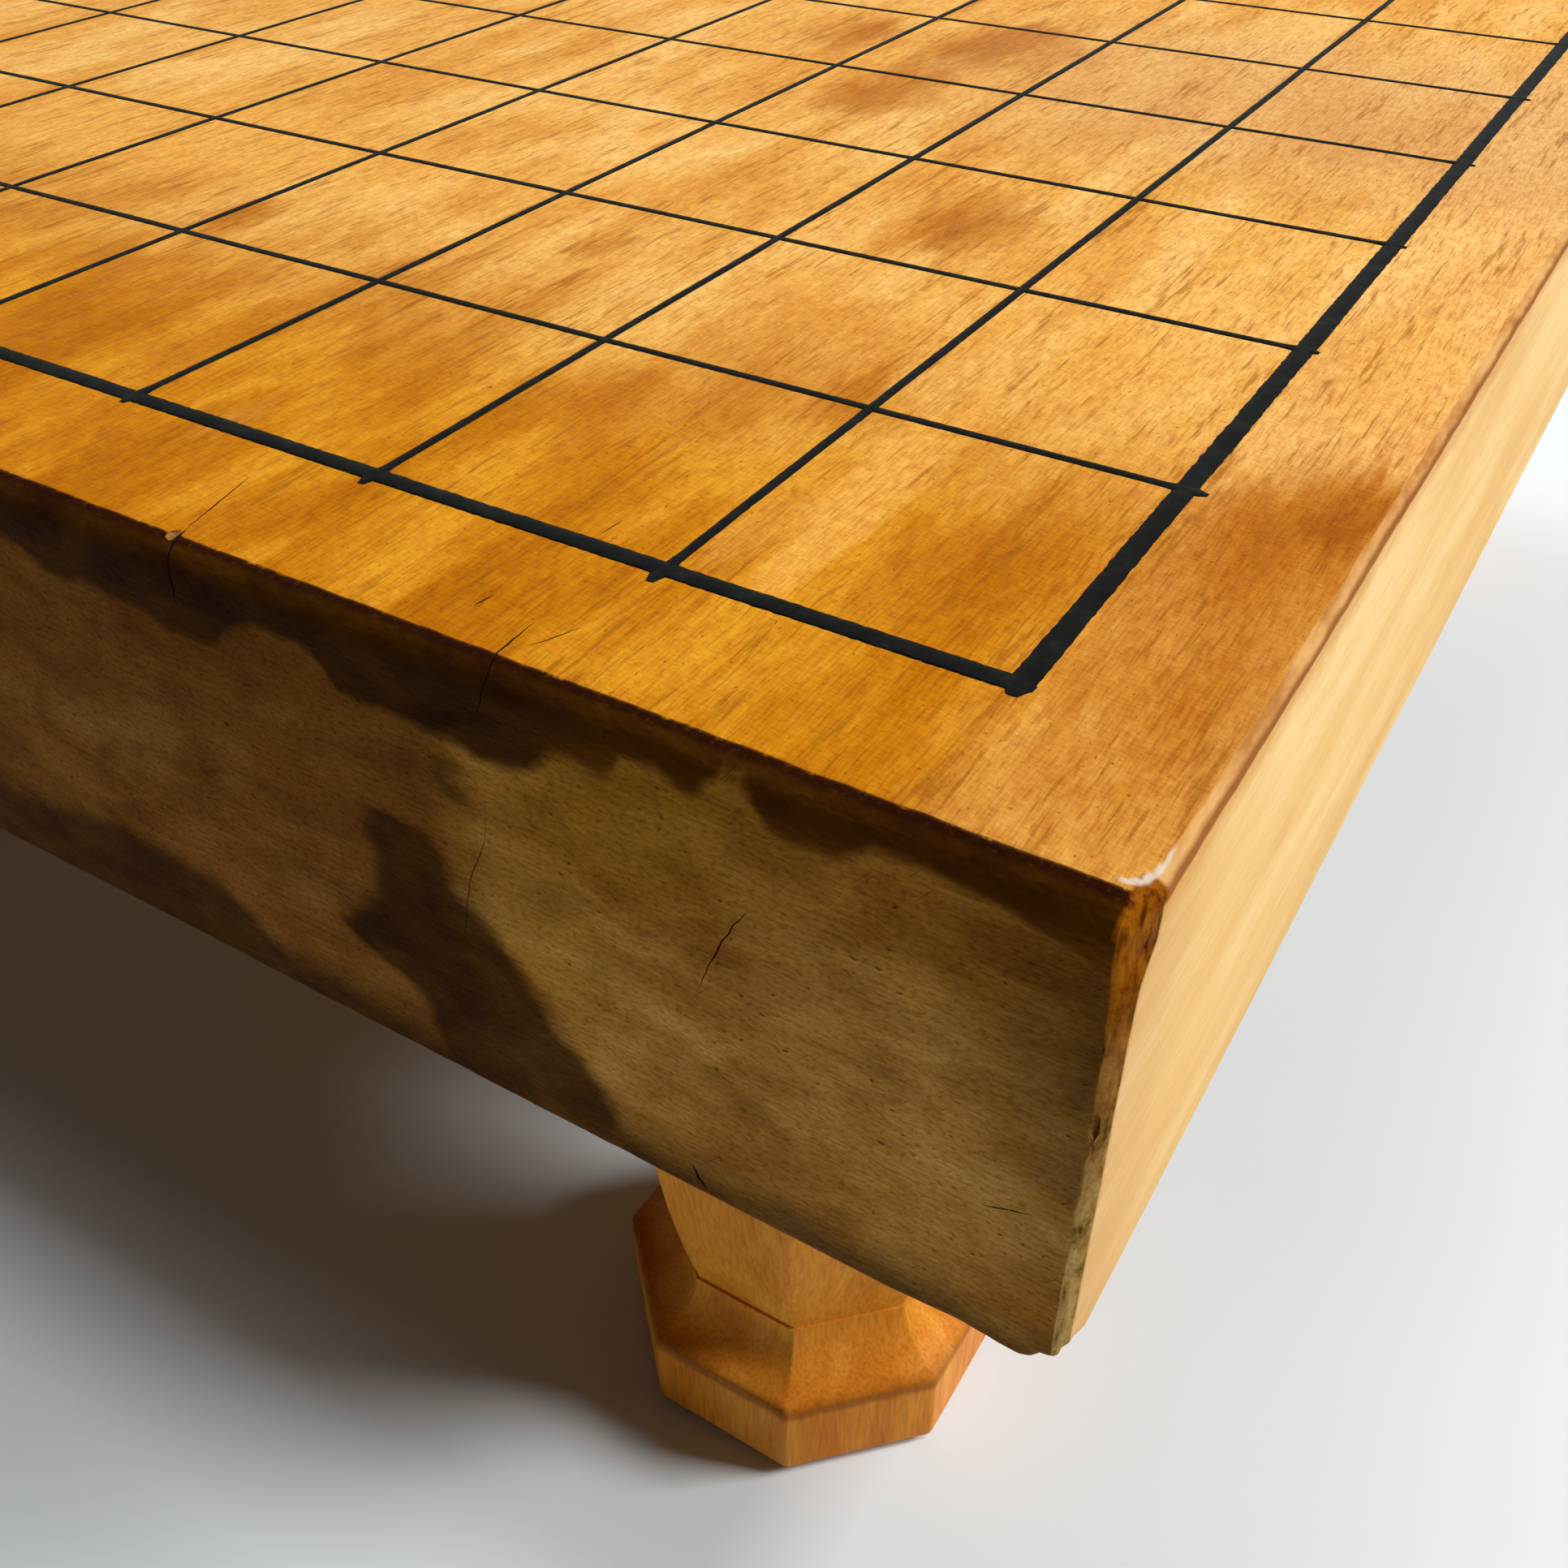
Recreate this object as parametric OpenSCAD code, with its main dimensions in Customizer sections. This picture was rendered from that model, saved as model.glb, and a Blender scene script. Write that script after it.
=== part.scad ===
// A shogi board on four carved legs: one thick plank, four legs driven into it from below,
// and the ruled lines of black lacquer on its top. Millimetres, +Z up.
// The origin is the middle of the footprint, on the ground that the feet stand on.
// X runs along the ranks, from left to right, and Y from the near player to the far one.

/* [Playing field] */
// Width of one square, along X
cell_w = 33; // [26:0.5:42]
// Length of one square, along Y
cell_l = 36; // [28:0.5:46]
// Bare wood from the middle of the frame line to the side faces
side_margin = 18; // [8:0.5:40]
// Bare wood from the middle of the frame line to the end faces
end_margin = 20; // [8:0.5:40]

/* [Lacquer lines] */
// Width of the frame line round the field
frame_line_w = 2.2; // [1:0.1:4]
// Width of the lines inside the field
grid_line_w = 1.2; // [0.6:0.1:3]
// Depth that the lacquer is let into the wood
line_depth = 0.3; // [0.2:0.05:1]

/* [Plank] */
// Thickness of the plank
plank_t = 53.5; // [40:0.5:80]
// Radius of the top arris along the two end faces
end_arris_r = 3; // [0.5:0.1:5]
// Radius of the top arris along the two side faces
side_arris_r = 1.3; // [0.5:0.1:5]
// Radius of the four upright corners
corner_r = 1.5; // [0.5:0.1:5]
// Radius of the arris round the underside
under_arris_r = 1.5; // [0.5:0.1:5]

/* [Legs] */
// Height of a leg from the ground to the plank
leg_h = 88.5; // [70:0.5:120]
// Distance from a leg's axis to the side face
leg_inset_x = 50; // [40:1:90]
// Distance from a leg's axis to the end face
leg_inset_y = 45; // [40:1:90]
// Size across the flats at the fullest part of the carved fruit
fruit_af = 48; // [42:0.5:60]
// Height of the fullest part of the fruit above the ground
fruit_z = 72; // [60:1:88]
// Size across the flats at the waist
waist_af = 36.6; // [28:0.2:40]
// Height of the waist above the ground
waist_z = 24.5; // [18:0.5:34]
// Size across the flats of the calyx, the base that the fruit sits in
calyx_af = 50.6; // [44:0.2:60]
// Width of the narrow ledge that the calyx leaves round the foot of the fruit
calyx_ledge = 0.4; // [0.2:0.1:1]
// Height of the hollow flare, from the ledge down to the rim of the calyx
flare_h = 8.3; // [5:0.1:11]
// Radius of the edge round the foot
foot_edge_r = 2.5; // [0.5:0.1:5]
// Height of the flat sole under the foot
sole_h = 0.4; // [0.2:0.1:1]
// How far the sole's edge is set in from the foot's
sole_inset = 0.3; // [0.1:0.1:1]

/* [Joints] */
// Diameter of the round tenon on top of a leg
tenon_d = 24; // [16:0.5:34]
// Length of the tenon
tenon_l = 24; // [12:1:32]
// Bevel round the tip of the tenon
tenon_bevel = 1.5; // [0.5:0.1:3]
// Clearance all round the tenon in its mortise
tenon_clear = 0.1; // [0.05:0.01:0.3]
// Room left past the tip of the tenon
mortise_room = 1.5; // [0.5:0.1:4]

/* [Recess under the plank] */
// Width of the square recess in the middle of the underside
recess_w = 66; // [40:1:100]
// Depth of the recess at its walls
recess_depth = 14; // [10:0.5:20]
// Height of the low pyramid on the floor of the recess
recess_peak_h = 8; // [2:0.5:9]

/* [Hidden] */
$fn = 96;

files = 9;
ranks = 9;
field_w = files * cell_w;
field_l = ranks * cell_l;
board_w = field_w + 2 * side_margin;
board_l = field_l + 2 * end_margin;
plank_top = leg_h + plank_t;
line_z = plank_top - line_depth;

leg_x = board_w / 2 - leg_inset_x;
leg_y = board_l / 2 - leg_inset_y;
mortise_d = tenon_d + 2 * tenon_clear;
mortise_depth = tenon_l + mortise_room;

leg_sides = 8;
half_face = 180 / leg_sides;
// How much farther a corner of the leg reaches than the middle of a face
corner_reach = 1 / cos(half_face);
fruit_a = fruit_af / 2;
waist_a = waist_af / 2;
calyx_a = calyx_af / 2;

// Half the leg's size across its flats at each height, from the sole up to the plank
curve_steps = 8;
foot_curve = [for (i = [0 : curve_steps]) let (turn = 90 * i / curve_steps)
    [calyx_a - foot_edge_r * (1 - sin(turn)), sole_h + foot_edge_r * (1 - cos(turn))]];
// The flare is hollow: it leaves the ledge upright and reaches the rim nearly level
flare_sweep = 77;
flare_w = calyx_a - waist_a - calyx_ledge;
flare_curve = [for (i = [0 : curve_steps]) let (turn = flare_sweep * (1 - i / curve_steps))
    [waist_a + calyx_ledge + flare_w * (1 - cos(turn)) / (1 - cos(flare_sweep)),
     waist_z - flare_h * sin(turn) / sin(flare_sweep)]];
// The fruit swells: its arc is upright at the fullest part and passes through the waist
fruit_rise = fruit_z - waist_z;
fruit_swell = fruit_a - waist_a;
fruit_r = (fruit_rise * fruit_rise + fruit_swell * fruit_swell) / (2 * fruit_swell);
fruit_steps = 20;
fruit_curve = [for (i = [0 : fruit_steps]) let (z = waist_z + (leg_h - waist_z) * i / fruit_steps)
    [fruit_a - fruit_r + sqrt(fruit_r * fruit_r - (z - fruit_z) * (z - fruit_z)), z]];
// How far one piece of a leg runs inside another, and how far a cut runs past a face
bury = 2;
past = 1;

wood_top = "#e0a040";
wood_leg = "#c87a2a";
lacquer = "#1a1f1c";

// Rectangle w wide, standing on Y = 0, with its two lower and two upper corners rounded
module soft_profile(w, h, low_r, high_r) {
    translate([-w / 2, low_r]) square([w, h - low_r - high_r]);
    translate([-w / 2 + low_r, 0]) square([w - 2 * low_r, h / 2]);
    translate([-w / 2 + high_r, h / 2]) square([w - 2 * high_r, h / 2]);
    for (side = [-1, 1]) {
        translate([side * (w / 2 - low_r), low_r]) circle(low_r);
        translate([side * (w / 2 - high_r), h - high_r]) circle(high_r);
    }
}

// Stands a drawing up, its X along the board's X or Y, and gives it a length both ways
module stand_up(length, turn) {
    rotate([0, 0, turn]) rotate([90, 0, 0])
        translate([0, 0, -length / 2]) linear_extrude(length) children();
}

// The plank's block with all its arrises rounded, standing on Z = 0
module plank_block() {
    intersection() {
        linear_extrude(plank_t)
            translate([0, -board_l / 2]) soft_profile(board_w, board_l, corner_r, corner_r);
        stand_up(board_l + 2 * past, 0) soft_profile(board_w, plank_t, under_arris_r, side_arris_r);
        stand_up(board_w + 2 * past, 90) soft_profile(board_l, plank_t, under_arris_r, end_arris_r);
    }
}

// A four-sided peak on a square floor
module peak(w, h) {
    intersection_for (turn = [0, 90])
        stand_up(w, turn) polygon([[-w / 2, 0], [w / 2, 0], [0, h]]);
}

// The square recess cut up into the underside, with its peak left hanging from the ceiling
module recess() {
    difference() {
        translate([-recess_w / 2, -recess_w / 2, -past])
            cube([recess_w, recess_w, recess_depth + past]);
        translate([0, 0, recess_depth]) mirror([0, 0, 1]) peak(recess_w, recess_peak_h);
    }
}

// A flat ring, w by l to the middle of its line
module line_ring(w, l, line_w, height) {
    linear_extrude(height) difference() {
        square([w + line_w, l + line_w], center = true);
        square([w - line_w, l - line_w], center = true);
    }
}

// The lines between the squares, from one inner edge of the frame line to the other
module inner_lines(height) {
    clear_w = field_w - frame_line_w;
    clear_l = field_l - frame_line_w;
    linear_extrude(height) {
        for (i = [1 : files - 1])
            translate([-field_w / 2 + i * cell_w, 0]) square([grid_line_w, clear_l], center = true);
        for (j = [1 : ranks - 1])
            translate([0, -field_l / 2 + j * cell_l]) square([clear_w, grid_line_w], center = true);
    }
}

// The carved leg, all its faces cut to one outline
module carved_leg() {
    outline = [for (p = concat([[0, sole_h]], foot_curve, flare_curve, fruit_curve, [[0, leg_h]]))
        [p[0] * corner_reach, p[1]]];
    rotate([0, 0, half_face]) rotate_extrude($fn = leg_sides) polygon(outline);
}

// The flat sole that the leg stands on
module sole() {
    rotate([0, 0, half_face])
        cylinder(r = (calyx_a - foot_edge_r - sole_inset) * corner_reach, h = sole_h + bury, $fn = leg_sides);
}

// The round tenon, its tip bevelled, rising from the top of the leg
module tenon() {
    translate([0, 0, leg_h - bury]) cylinder(d = tenon_d, h = bury + tenon_l - tenon_bevel);
    translate([0, 0, leg_h + tenon_l - tenon_bevel])
        cylinder(d1 = tenon_d, d2 = tenon_d - 2 * tenon_bevel, h = tenon_bevel);
}

module leg() {
    carved_leg();
    sole();
    tenon();
}

module leg_at(side, end) {
    color(wood_leg) translate([side * leg_x, end * leg_y, 0]) leg();
}

module plank() {
    color(wood_top) difference() {
        translate([0, 0, leg_h]) plank_block();
        for (side = [-1, 1], end = [-1, 1])
            translate([side * leg_x, end * leg_y, leg_h - past])
                cylinder(d = mortise_d, h = mortise_depth + past);
        translate([0, 0, leg_h]) recess();
        translate([0, 0, line_z]) {
            line_ring(field_w, field_l, frame_line_w, line_depth + past);
            inner_lines(line_depth + past);
        }
    }
}

module leg_front_left() { leg_at(-1, -1); }
module leg_front_right() { leg_at(1, -1); }
module leg_back_left() { leg_at(-1, 1); }
module leg_back_right() { leg_at(1, 1); }

module lacquer_frame() {
    color(lacquer) translate([0, 0, line_z]) line_ring(field_w, field_l, frame_line_w, line_depth);
}

module lacquer_grid() {
    color(lacquer) translate([0, 0, line_z]) inner_lines(line_depth);
}

plank();
leg_front_left();
leg_front_right();
leg_back_left();
leg_back_right();
lacquer_frame();
lacquer_grid();
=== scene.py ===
# %% [markdown]
# # An old shogi board on carved legs
# The board is one thick plank, four carved legs and the black lacquer ruled on its top. The CAD
# model gives the frame: where each piece is and how big. This file gives each piece its look, as
# a lesson in cells: first the plank with its worn edges and drying cracks, then the legs, then
# the lacquer, and at the end the light and the camera.
#
# The frame is in metres, with its origin on the ground under the middle of the board. Sizes are
# written in millimetres here, because that is how a maker thinks of them, and are turned into
# metres where the meshes are made.

import math

import bmesh
import bpy
import numpy as np
from mathutils import Matrix, Vector, noise


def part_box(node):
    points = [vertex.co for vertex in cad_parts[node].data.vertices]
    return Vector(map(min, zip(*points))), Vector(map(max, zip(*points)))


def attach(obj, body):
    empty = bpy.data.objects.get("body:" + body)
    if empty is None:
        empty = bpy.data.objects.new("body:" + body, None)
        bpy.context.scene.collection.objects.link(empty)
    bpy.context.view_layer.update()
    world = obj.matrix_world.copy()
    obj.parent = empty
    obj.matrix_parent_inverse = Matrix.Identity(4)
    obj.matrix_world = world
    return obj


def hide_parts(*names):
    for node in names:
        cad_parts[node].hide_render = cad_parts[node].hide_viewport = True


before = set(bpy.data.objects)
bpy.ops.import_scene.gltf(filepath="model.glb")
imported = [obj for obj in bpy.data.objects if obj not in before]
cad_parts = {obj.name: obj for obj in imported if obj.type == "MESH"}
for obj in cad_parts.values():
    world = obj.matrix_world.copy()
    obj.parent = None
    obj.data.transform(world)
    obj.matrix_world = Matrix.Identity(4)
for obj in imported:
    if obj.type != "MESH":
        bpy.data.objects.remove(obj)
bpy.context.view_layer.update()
MM = 0.001
low, high = (np.array(corner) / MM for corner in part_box("plank"))
HALF = (high - low) / 2
MIDDLE = (high + low) / 2
TOP_Z, UNDER_Z = high[2], low[2]
print("plank from", low.round(2), "to", high.round(2), "mm")

# %% [markdown]
# ## Small tools
# Colours are written as sRGB hex, as a colour picker shows them. Blender's shaders want linear
# light, so one function turns the one into the other.
#
# Every shader and every Geometry Nodes tree below is made with one function, `add`. It makes a
# node, gives it its settings, and fills its inputs with values or with links to other nodes. It
# returns one output, and that output's node has the others.

# %% Colour and nodes
def linear(code):
    """The linear RGBA of an sRGB hex colour such as #e09a38."""
    parts = [int(code[i:i + 2], 16) / 255 for i in (1, 3, 5)]
    return [c / 12.92 if c <= 0.04045 else ((c + 0.055) / 1.055) ** 2.4 for c in parts] + [1.0]


def add(tree, kind, inputs=None, out=0, stops=None, **settings):
    """Adds a node and returns one of its outputs. stops are a ramp's colours or a curve's points."""
    made = tree.nodes.new(kind)
    for name, value in settings.items():
        setattr(made, name, value)
    if stops and kind == "ShaderNodeValToRGB":
        spare = made.color_ramp.elements
        for number, (at, code) in enumerate(stops):
            stop = spare[number] if number < 2 else spare.new(at)
            stop.position, stop.color = at, linear(code)
    elif stops:
        points = made.mapping.curves[0].points
        for number, (at, height) in enumerate(stops):
            if number < 2:
                points[number].location = (at, height)
            else:
                points.new(at, height)
        made.mapping.update()
    for key, value in (inputs or {}).items():
        if isinstance(value, bpy.types.NodeSocket):
            tree.links.new(value, made.inputs[key])
        else:
            made.inputs[key].default_value = value
    return made.outputs[out] if len(made.outputs) else made


def new_material(name):
    """An empty material, its node tree, and the place on the object at each point of its surface."""
    material = bpy.data.materials.new(name)
    material.use_nodes = True
    tree = material.node_tree
    tree.nodes.clear()
    return material, tree, add(tree, "ShaderNodeTexCoord", out=3)


def surface(tree, colour, roughness, relief, strength, depth, values):
    """Ends a material: a relief depth metres deep, and a Principled skin with these values too."""
    bump = add(tree, "ShaderNodeBump", {"Strength": strength, "Distance": depth, "Height": relief})
    skin = add(tree, "ShaderNodeBsdfPrincipled",
               {"Base Color": colour, "Roughness": roughness, "Normal": bump, **values})
    add(tree, "ShaderNodeOutputMaterial", {0: skin})


def in_scene(name, data):
    """A new object in the scene that shows this mesh, lamp or camera."""
    made = bpy.data.objects.new(name, data)
    bpy.context.collection.objects.link(made)
    return made


print("#808080 is", round(linear("#808080")[0], 3), "in linear light")

# %% [markdown]
# ## Patterns in wood
# Wood is streaks: long along the grain and narrow across it. A noise texture is as long as it is
# wide, so the coordinates are squeezed first. `streaks` takes the size of one streak in
# millimetres along X, Y and Z, so each pattern below has the size it has on real wood. Scratches
# are streaks too, turned across the grain. The fibres of real wood are a few hundredths of a
# millimetre wide, too fine to show in the render, so they are drawn as coarse as they need to
# be: 0.3 to 0.7 mm.
#
# Stains sit in known places, so `stains` adds up soft spots, each with a middle, a reach and a
# strength. The place that goes into it is shaken by a noise first, which feathers their edges.
#
# A finish is built up in thin coats, as a painter would. `layer` lays one colour where a value
# passes from start to full, and `darken` multiplies by the shades that a pattern gives.

# %% Streaks, stains and coats of colour
SMOOTH = {"interpolation_type": "SMOOTHSTEP"}
COLOURS = {"out": 2, "data_type": "RGBA"}
DARKER = {"blend_type": "MULTIPLY"}
# The reach of a stain that runs right through, then where a stain is full and gone, as a share
# of its reach
ANY = 1e6
FULL, GONE = 0.2, 1.4


def streaks(tree, place, size, seed, detail=3.0, roughness=0.55, twist=0.0, turn=0.0):
    """Noise from 0 to 1 whose streaks are size mm long along each axis, turned about Y."""
    squeezed = add(tree, "ShaderNodeMapping",
                   {"Vector": place, "Location": (seed * 0.1, seed * 0.07, seed * 0.13),
                    "Rotation": (0, turn, 0), "Scale": [length * MM for length in size]},
                   vector_type="TEXTURE")
    return add(tree, "ShaderNodeTexNoise",
               {"Vector": squeezed, "Scale": 1.0, "Detail": detail, "Roughness": roughness,
                "Distortion": twist})


def shaken(tree, place, size, reach, seed):
    """The same place, moved up to reach mm each way by a noise with streaks size mm long."""
    squeezed = add(tree, "ShaderNodeMapping",
                   {"Vector": place, "Location": (seed * 0.1, seed * 0.1, seed * 0.1),
                    "Scale": [length * MM for length in size]}, vector_type="TEXTURE")
    shake = add(tree, "ShaderNodeTexNoise", {"Vector": squeezed, "Scale": 1.0, "Detail": 2.0}, out=1)
    centred = add(tree, "ShaderNodeVectorMath", {0: shake, 1: (0.5, 0.5, 0.5)}, operation="SUBTRACT")
    return add(tree, "ShaderNodeVectorMath",
               {0: centred, 1: [2 * r * MM for r in reach], 2: place}, operation="MULTIPLY_ADD")


def stains(tree, place, spots):
    """The sum of soft spots: (x, y, z) of the middle and of the reach in mm, then the strength."""
    total = 0.0
    for middle, reach, strength in spots:
        near = add(tree, "ShaderNodeMapping",
                   {"Vector": place, "Location": [m * MM for m in middle],
                    "Scale": [r * MM for r in reach]}, vector_type="TEXTURE")
        far = add(tree, "ShaderNodeVectorMath", {0: near}, out=1, operation="LENGTH")
        soft = add(tree, "ShaderNodeMapRange", {"Value": far, "From Min": GONE, "From Max": FULL}, **SMOOTH)
        total = add(tree, "ShaderNodeMath", {0: soft, 1: strength, 2: total}, operation="MULTIPLY_ADD")
    return total


def from_middle(tree, place):
    """How far a place is from the board's middle along X, Y and Z."""
    folded = add(tree, "ShaderNodeVectorMath", {0: place}, operation="ABSOLUTE")
    return add(tree, "ShaderNodeSeparateXYZ", {0: folded}).node.outputs


def joined_masks(tree, masks, operation, **settings):
    """Masks joined in one. Each is a value, where it starts and ends, and what it gives there."""
    total = None
    for value, start, end, at_start, at_end in masks:
        mask = add(tree, "ShaderNodeMapRange",
                   {"Value": value, "From Min": start, "From Max": end, "To Min": at_start,
                    "To Max": at_end}, **settings)
        total = mask if total is None else add(tree, "ShaderNodeMath", {0: total, 1: mask},
                                               operation=operation)
    return total


def layer(tree, under, value, reach, code, soft=SMOOTH, **settings):
    """Lays a colour on. reach is the value where it starts, where it is full, and its strength."""
    start, full, most = reach
    mask = add(tree, "ShaderNodeMapRange",
               {"Value": value, "From Min": start, "From Max": full, "To Max": most}, **soft)
    return add(tree, "ShaderNodeMix", {0: mask, 6: under, 7: linear(code)}, **COLOURS, **settings)


def darken(tree, under, pattern, strength, shades):
    """Multiplies a colour by the shades that a pattern gives."""
    shade = add(tree, "ShaderNodeValToRGB", {"Fac": pattern}, stops=shades)
    return add(tree, "ShaderNodeMix", {0: strength, 6: under, 7: shade}, **COLOURS, **DARKER)


print("a stain is full at", FULL, "of its reach and gone at", GONE)

# %% [markdown]
# ## The plank's material
# Old, close-grained softwood, planed, oiled and handled for decades. Its top shows long grain
# that runs from player to player, honey-coloured, with brown-orange stains whose edges are drawn
# out along the grain. The two ends show end grain: it drinks oil and dirt, so it is olive-brown
# and much darker, with a dark band hanging from the top edge like drips. The sides are cleaner
# and pale as cream. One material covers the plank, and the place on it decides which face it is,
# so the finish turns over the worn edges without a seam.
#
# The top comes first. Planing and oil leave it satin, with light streaks, fine dark creases in
# patches, and a shallow leathery relief across the grain that breaks up the sheen.

# %% Long grain of the top
# Each stain: its middle across and along the board, its reach both ways, and its strength.
# One below zero is a bleached spot
TOP_STAINS = [((x, y, 0), (wide, long, ANY), strength) for x, y, wide, long, strength in (
    (163.5, -122, 5, 9, 0.9), (158, -138, 13, 23, 0.85), (156, -166, 11, 12, 0.35),
    (139, -148, 10, 19, 0.55), (112, -125, 5, 11, 0.65), (90, -136, 8, 11, 0.5),
    (102, -151, 10, 12, 0.35), (71, -147, 6, 12, 0.35), (46, -150, 7, 16, 0.5),
    (25, -140, 12, 12, 0.55), (19, -118, 5, 9, 0.55), (2, -113, 6, 11, 0.25), (37, -118, 4, 8, 0.45),
    (65, -101, 5, 8, 0.45), (99, -72, 9, 16, 0.65), (61, -26, 11, 18, 0.8), (68, 6, 17, 21, 0.85),
    (40, 2, 11, 17, 0.8), (130, -26, 9, 8, 0.3), (122, -169, 9, 7, 0.3), (55, -172, 12, 7, 0.35),
    (124, -140, 4, 27, -0.75), (135, -98, 13, 26, -0.5), (158, -88, 8, 24, -0.5),
    (154, -150, 6, 9, -0.3), (62, -162, 4, 12, -0.3), (30, -92, 14, 16, -0.45),
    (-12, -97, 34, 20, -0.8), (118, -152, 3, 12, -0.4))]


def top_face(tree, place):
    """Colour, roughness and relief of the oiled long grain."""
    cloud = streaks(tree, place, (15, 34, 30), 3, 2.0, 0.5, 0.6)
    strand = streaks(tree, place, (3.6, 30, 8), 17, 2.0, 0.5, 0.2)
    tone = add(tree, "ShaderNodeMath", {0: strand, 1: 0.4, 2: -0.2}, operation="MULTIPLY_ADD")
    tone = add(tree, "ShaderNodeMath", {0: tone, 1: cloud}, operation="ADD")
    wood = add(tree, "ShaderNodeValToRGB", {"Fac": tone},
               stops=[(0.34, "#e4a448"), (0.50, "#efb75c"), (0.66, "#f9ca78")])
    oiled = add(tree, "ShaderNodeValToRGB", {"Fac": tone},
                stops=[(0.34, "#ba7308"), (0.50, "#cc8613"), (0.66, "#df9e27")])
    feathered = shaken(tree, place, (2.4, 18, 9), (2.0, 9, 0), 5)
    to_side, to_end, _ = from_middle(tree, feathered)
    # The strip outside the frame line is handled less, so it has stayed paler
    margin = add(tree, "ShaderNodeMapRange",
                 {"Value": to_side, "From Min": 144 * MM, "From Max": 153 * MM, "To Max": 0.4}, **SMOOTH)
    wood = add(tree, "ShaderNodeMix", {0: margin, 6: wood, 7: linear("#fccb86")}, **COLOURS)
    # The players' ends have drunk more oil, but for that strip
    kept = add(tree, "ShaderNodeMath", {0: margin, 1: -0.9, 2: 1.0}, operation="MULTIPLY_ADD")
    near_end = add(tree, "ShaderNodeMapRange",
                   {"Value": to_end, "From Min": 100 * MM, "From Max": 150 * MM}, **SMOOTH)
    near_end = add(tree, "ShaderNodeMath", {0: near_end, 1: kept}, operation="MULTIPLY")
    wood = add(tree, "ShaderNodeMix", {0: near_end, 6: wood, 7: oiled}, **COLOURS)
    known = stains(tree, feathered, TOP_STAINS)
    blotch = streaks(tree, feathered, (13, 26, 20), 11, 2.0, 0.5, 0.3)
    field = add(tree, "ShaderNodeMath", {0: blotch, 1: 1.5, 2: known}, operation="MULTIPLY_ADD")
    field = add(tree, "ShaderNodeMath", {0: strand, 1: 0.6, 2: field}, operation="MULTIPLY_ADD")
    wood = layer(tree, wood, field, (1.2, 1.95, 0.85), "#c07616")
    wood = layer(tree, wood, field, (1.7, 2.5, 0.75), "#9d530c")
    wood = layer(tree, wood, known, (-0.1, -0.7, 0.8), "#f1b656")
    # Painted sheen: paler and greyer beside the middle of the board, the haze that the top reflects at a
    # grazing view
    painted_far_sheen = joined_masks(tree, [(to_end, 60 * MM, 15 * MM, 0.0, 0.5),
                                (to_side, 55 * MM, 100 * MM, 0.0, 1.0)], "MULTIPLY", **SMOOTH)
    wood = add(tree, "ShaderNodeMix", {0: painted_far_sheen, 6: wood, 7: linear("#dcae78")}, **COLOURS)
    mottle = streaks(tree, place, (1.1, 2.0, 1.1), 27, 3.0, 0.65, 0.6)
    wood = darken(tree, wood, mottle, 0.55, [(0.32, "#dcb684"), (0.50, "#f2e2c8"), (0.64, "#ffffff")])
    fibre = streaks(tree, place, (0.3, 3.2, 0.3), 23, 2.0, 0.6)
    wood = darken(tree, wood, fibre, 0.42, [(0.30, "#b88850"), (0.46, "#f2e4cc"), (0.62, "#ffffff")])
    # Fine dark creases along the grain, in patches
    crease = streaks(tree, place, (0.55, 8, 0.55), 51, 2.0, 0.6, 0.2)
    crease = add(tree, "ShaderNodeMath", {0: strand, 1: -0.35, 2: crease}, operation="MULTIPLY_ADD")
    wood = layer(tree, wood, crease, (0.39, 0.53, 0.6), "#9a5a12")
    fleck = streaks(tree, place, (0.35, 0.7, 0.35), 31, 1.0)
    wood = layer(tree, wood, fleck, (0.72, 0.78, 0.7), "#7a400c", soft={})
    # A shallow leathery relief across the grain, with the fibres in it
    pebble = streaks(tree, place, (1.1, 0.45, 0.5), 41, 1.5)
    relief = add(tree, "ShaderNodeMath", {0: fibre, 1: 0.6, 2: pebble}, operation="MULTIPLY_ADD")
    gloss = add(tree, "ShaderNodeMapRange",
                {"Value": mottle, "From Min": 0.3, "From Max": 0.7, "To Min": 0.36, "To Max": 0.5})
    return wood, gloss, relief


print(len(TOP_STAINS), "stains placed on the top")

# %% [markdown]
# The ends: growth rings cut across, nearly level here because the plank was sawn flat. End grain
# is a bundle of open straws, so it soaks up oil and looks dark. The band under the top edge
# follows a measured outline, drawn as a Float Curve of its depth along the board. A curve has no
# good value past its last stop, so each one spans its whole outline. The back end is the same
# plank seen from behind, so X is turned round there and both ends are finished alike.

# %% End grain of the two ends
# The band under the top edge: a place along the board, and how far down it hangs there, in mm
BAND = [(-171, 7), (-140, 4), (-118, 8), (-96, 3.5), (-70, 6), (-48, 9), (-30, 4), (-12, 6.5),
        (8, 3.5), (30, 8.5), (44, 4.5), (52, 5.2), (58, 7.8), (66, 7.5), (76.5, 8.8), (82, 6.2),
        (89.6, 4.0), (95, 8), (108, 8.9), (113, 9.0), (118, 6), (124, 5.4), (127, 2.9),
        (130.5, 3.8), (134, 1.2), (140, 4.6), (149, 3), (160, 4.4), (165, 7.6), (171, 9)]
# The soaked wood, in the same way, up from the bottom edge
SOAKED = [(-171, 5), (-140, 13), (-120, 16), (-104, 5), (-70, 3), (-48, 16), (-34, 12), (-16, 3),
          (12, 9), (36, 10.5), (56, 12.5), (66, 12), (73, 9), (78, 5), (84, 3), (94, 2.5), (120, 2),
          (171, 2)]
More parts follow.
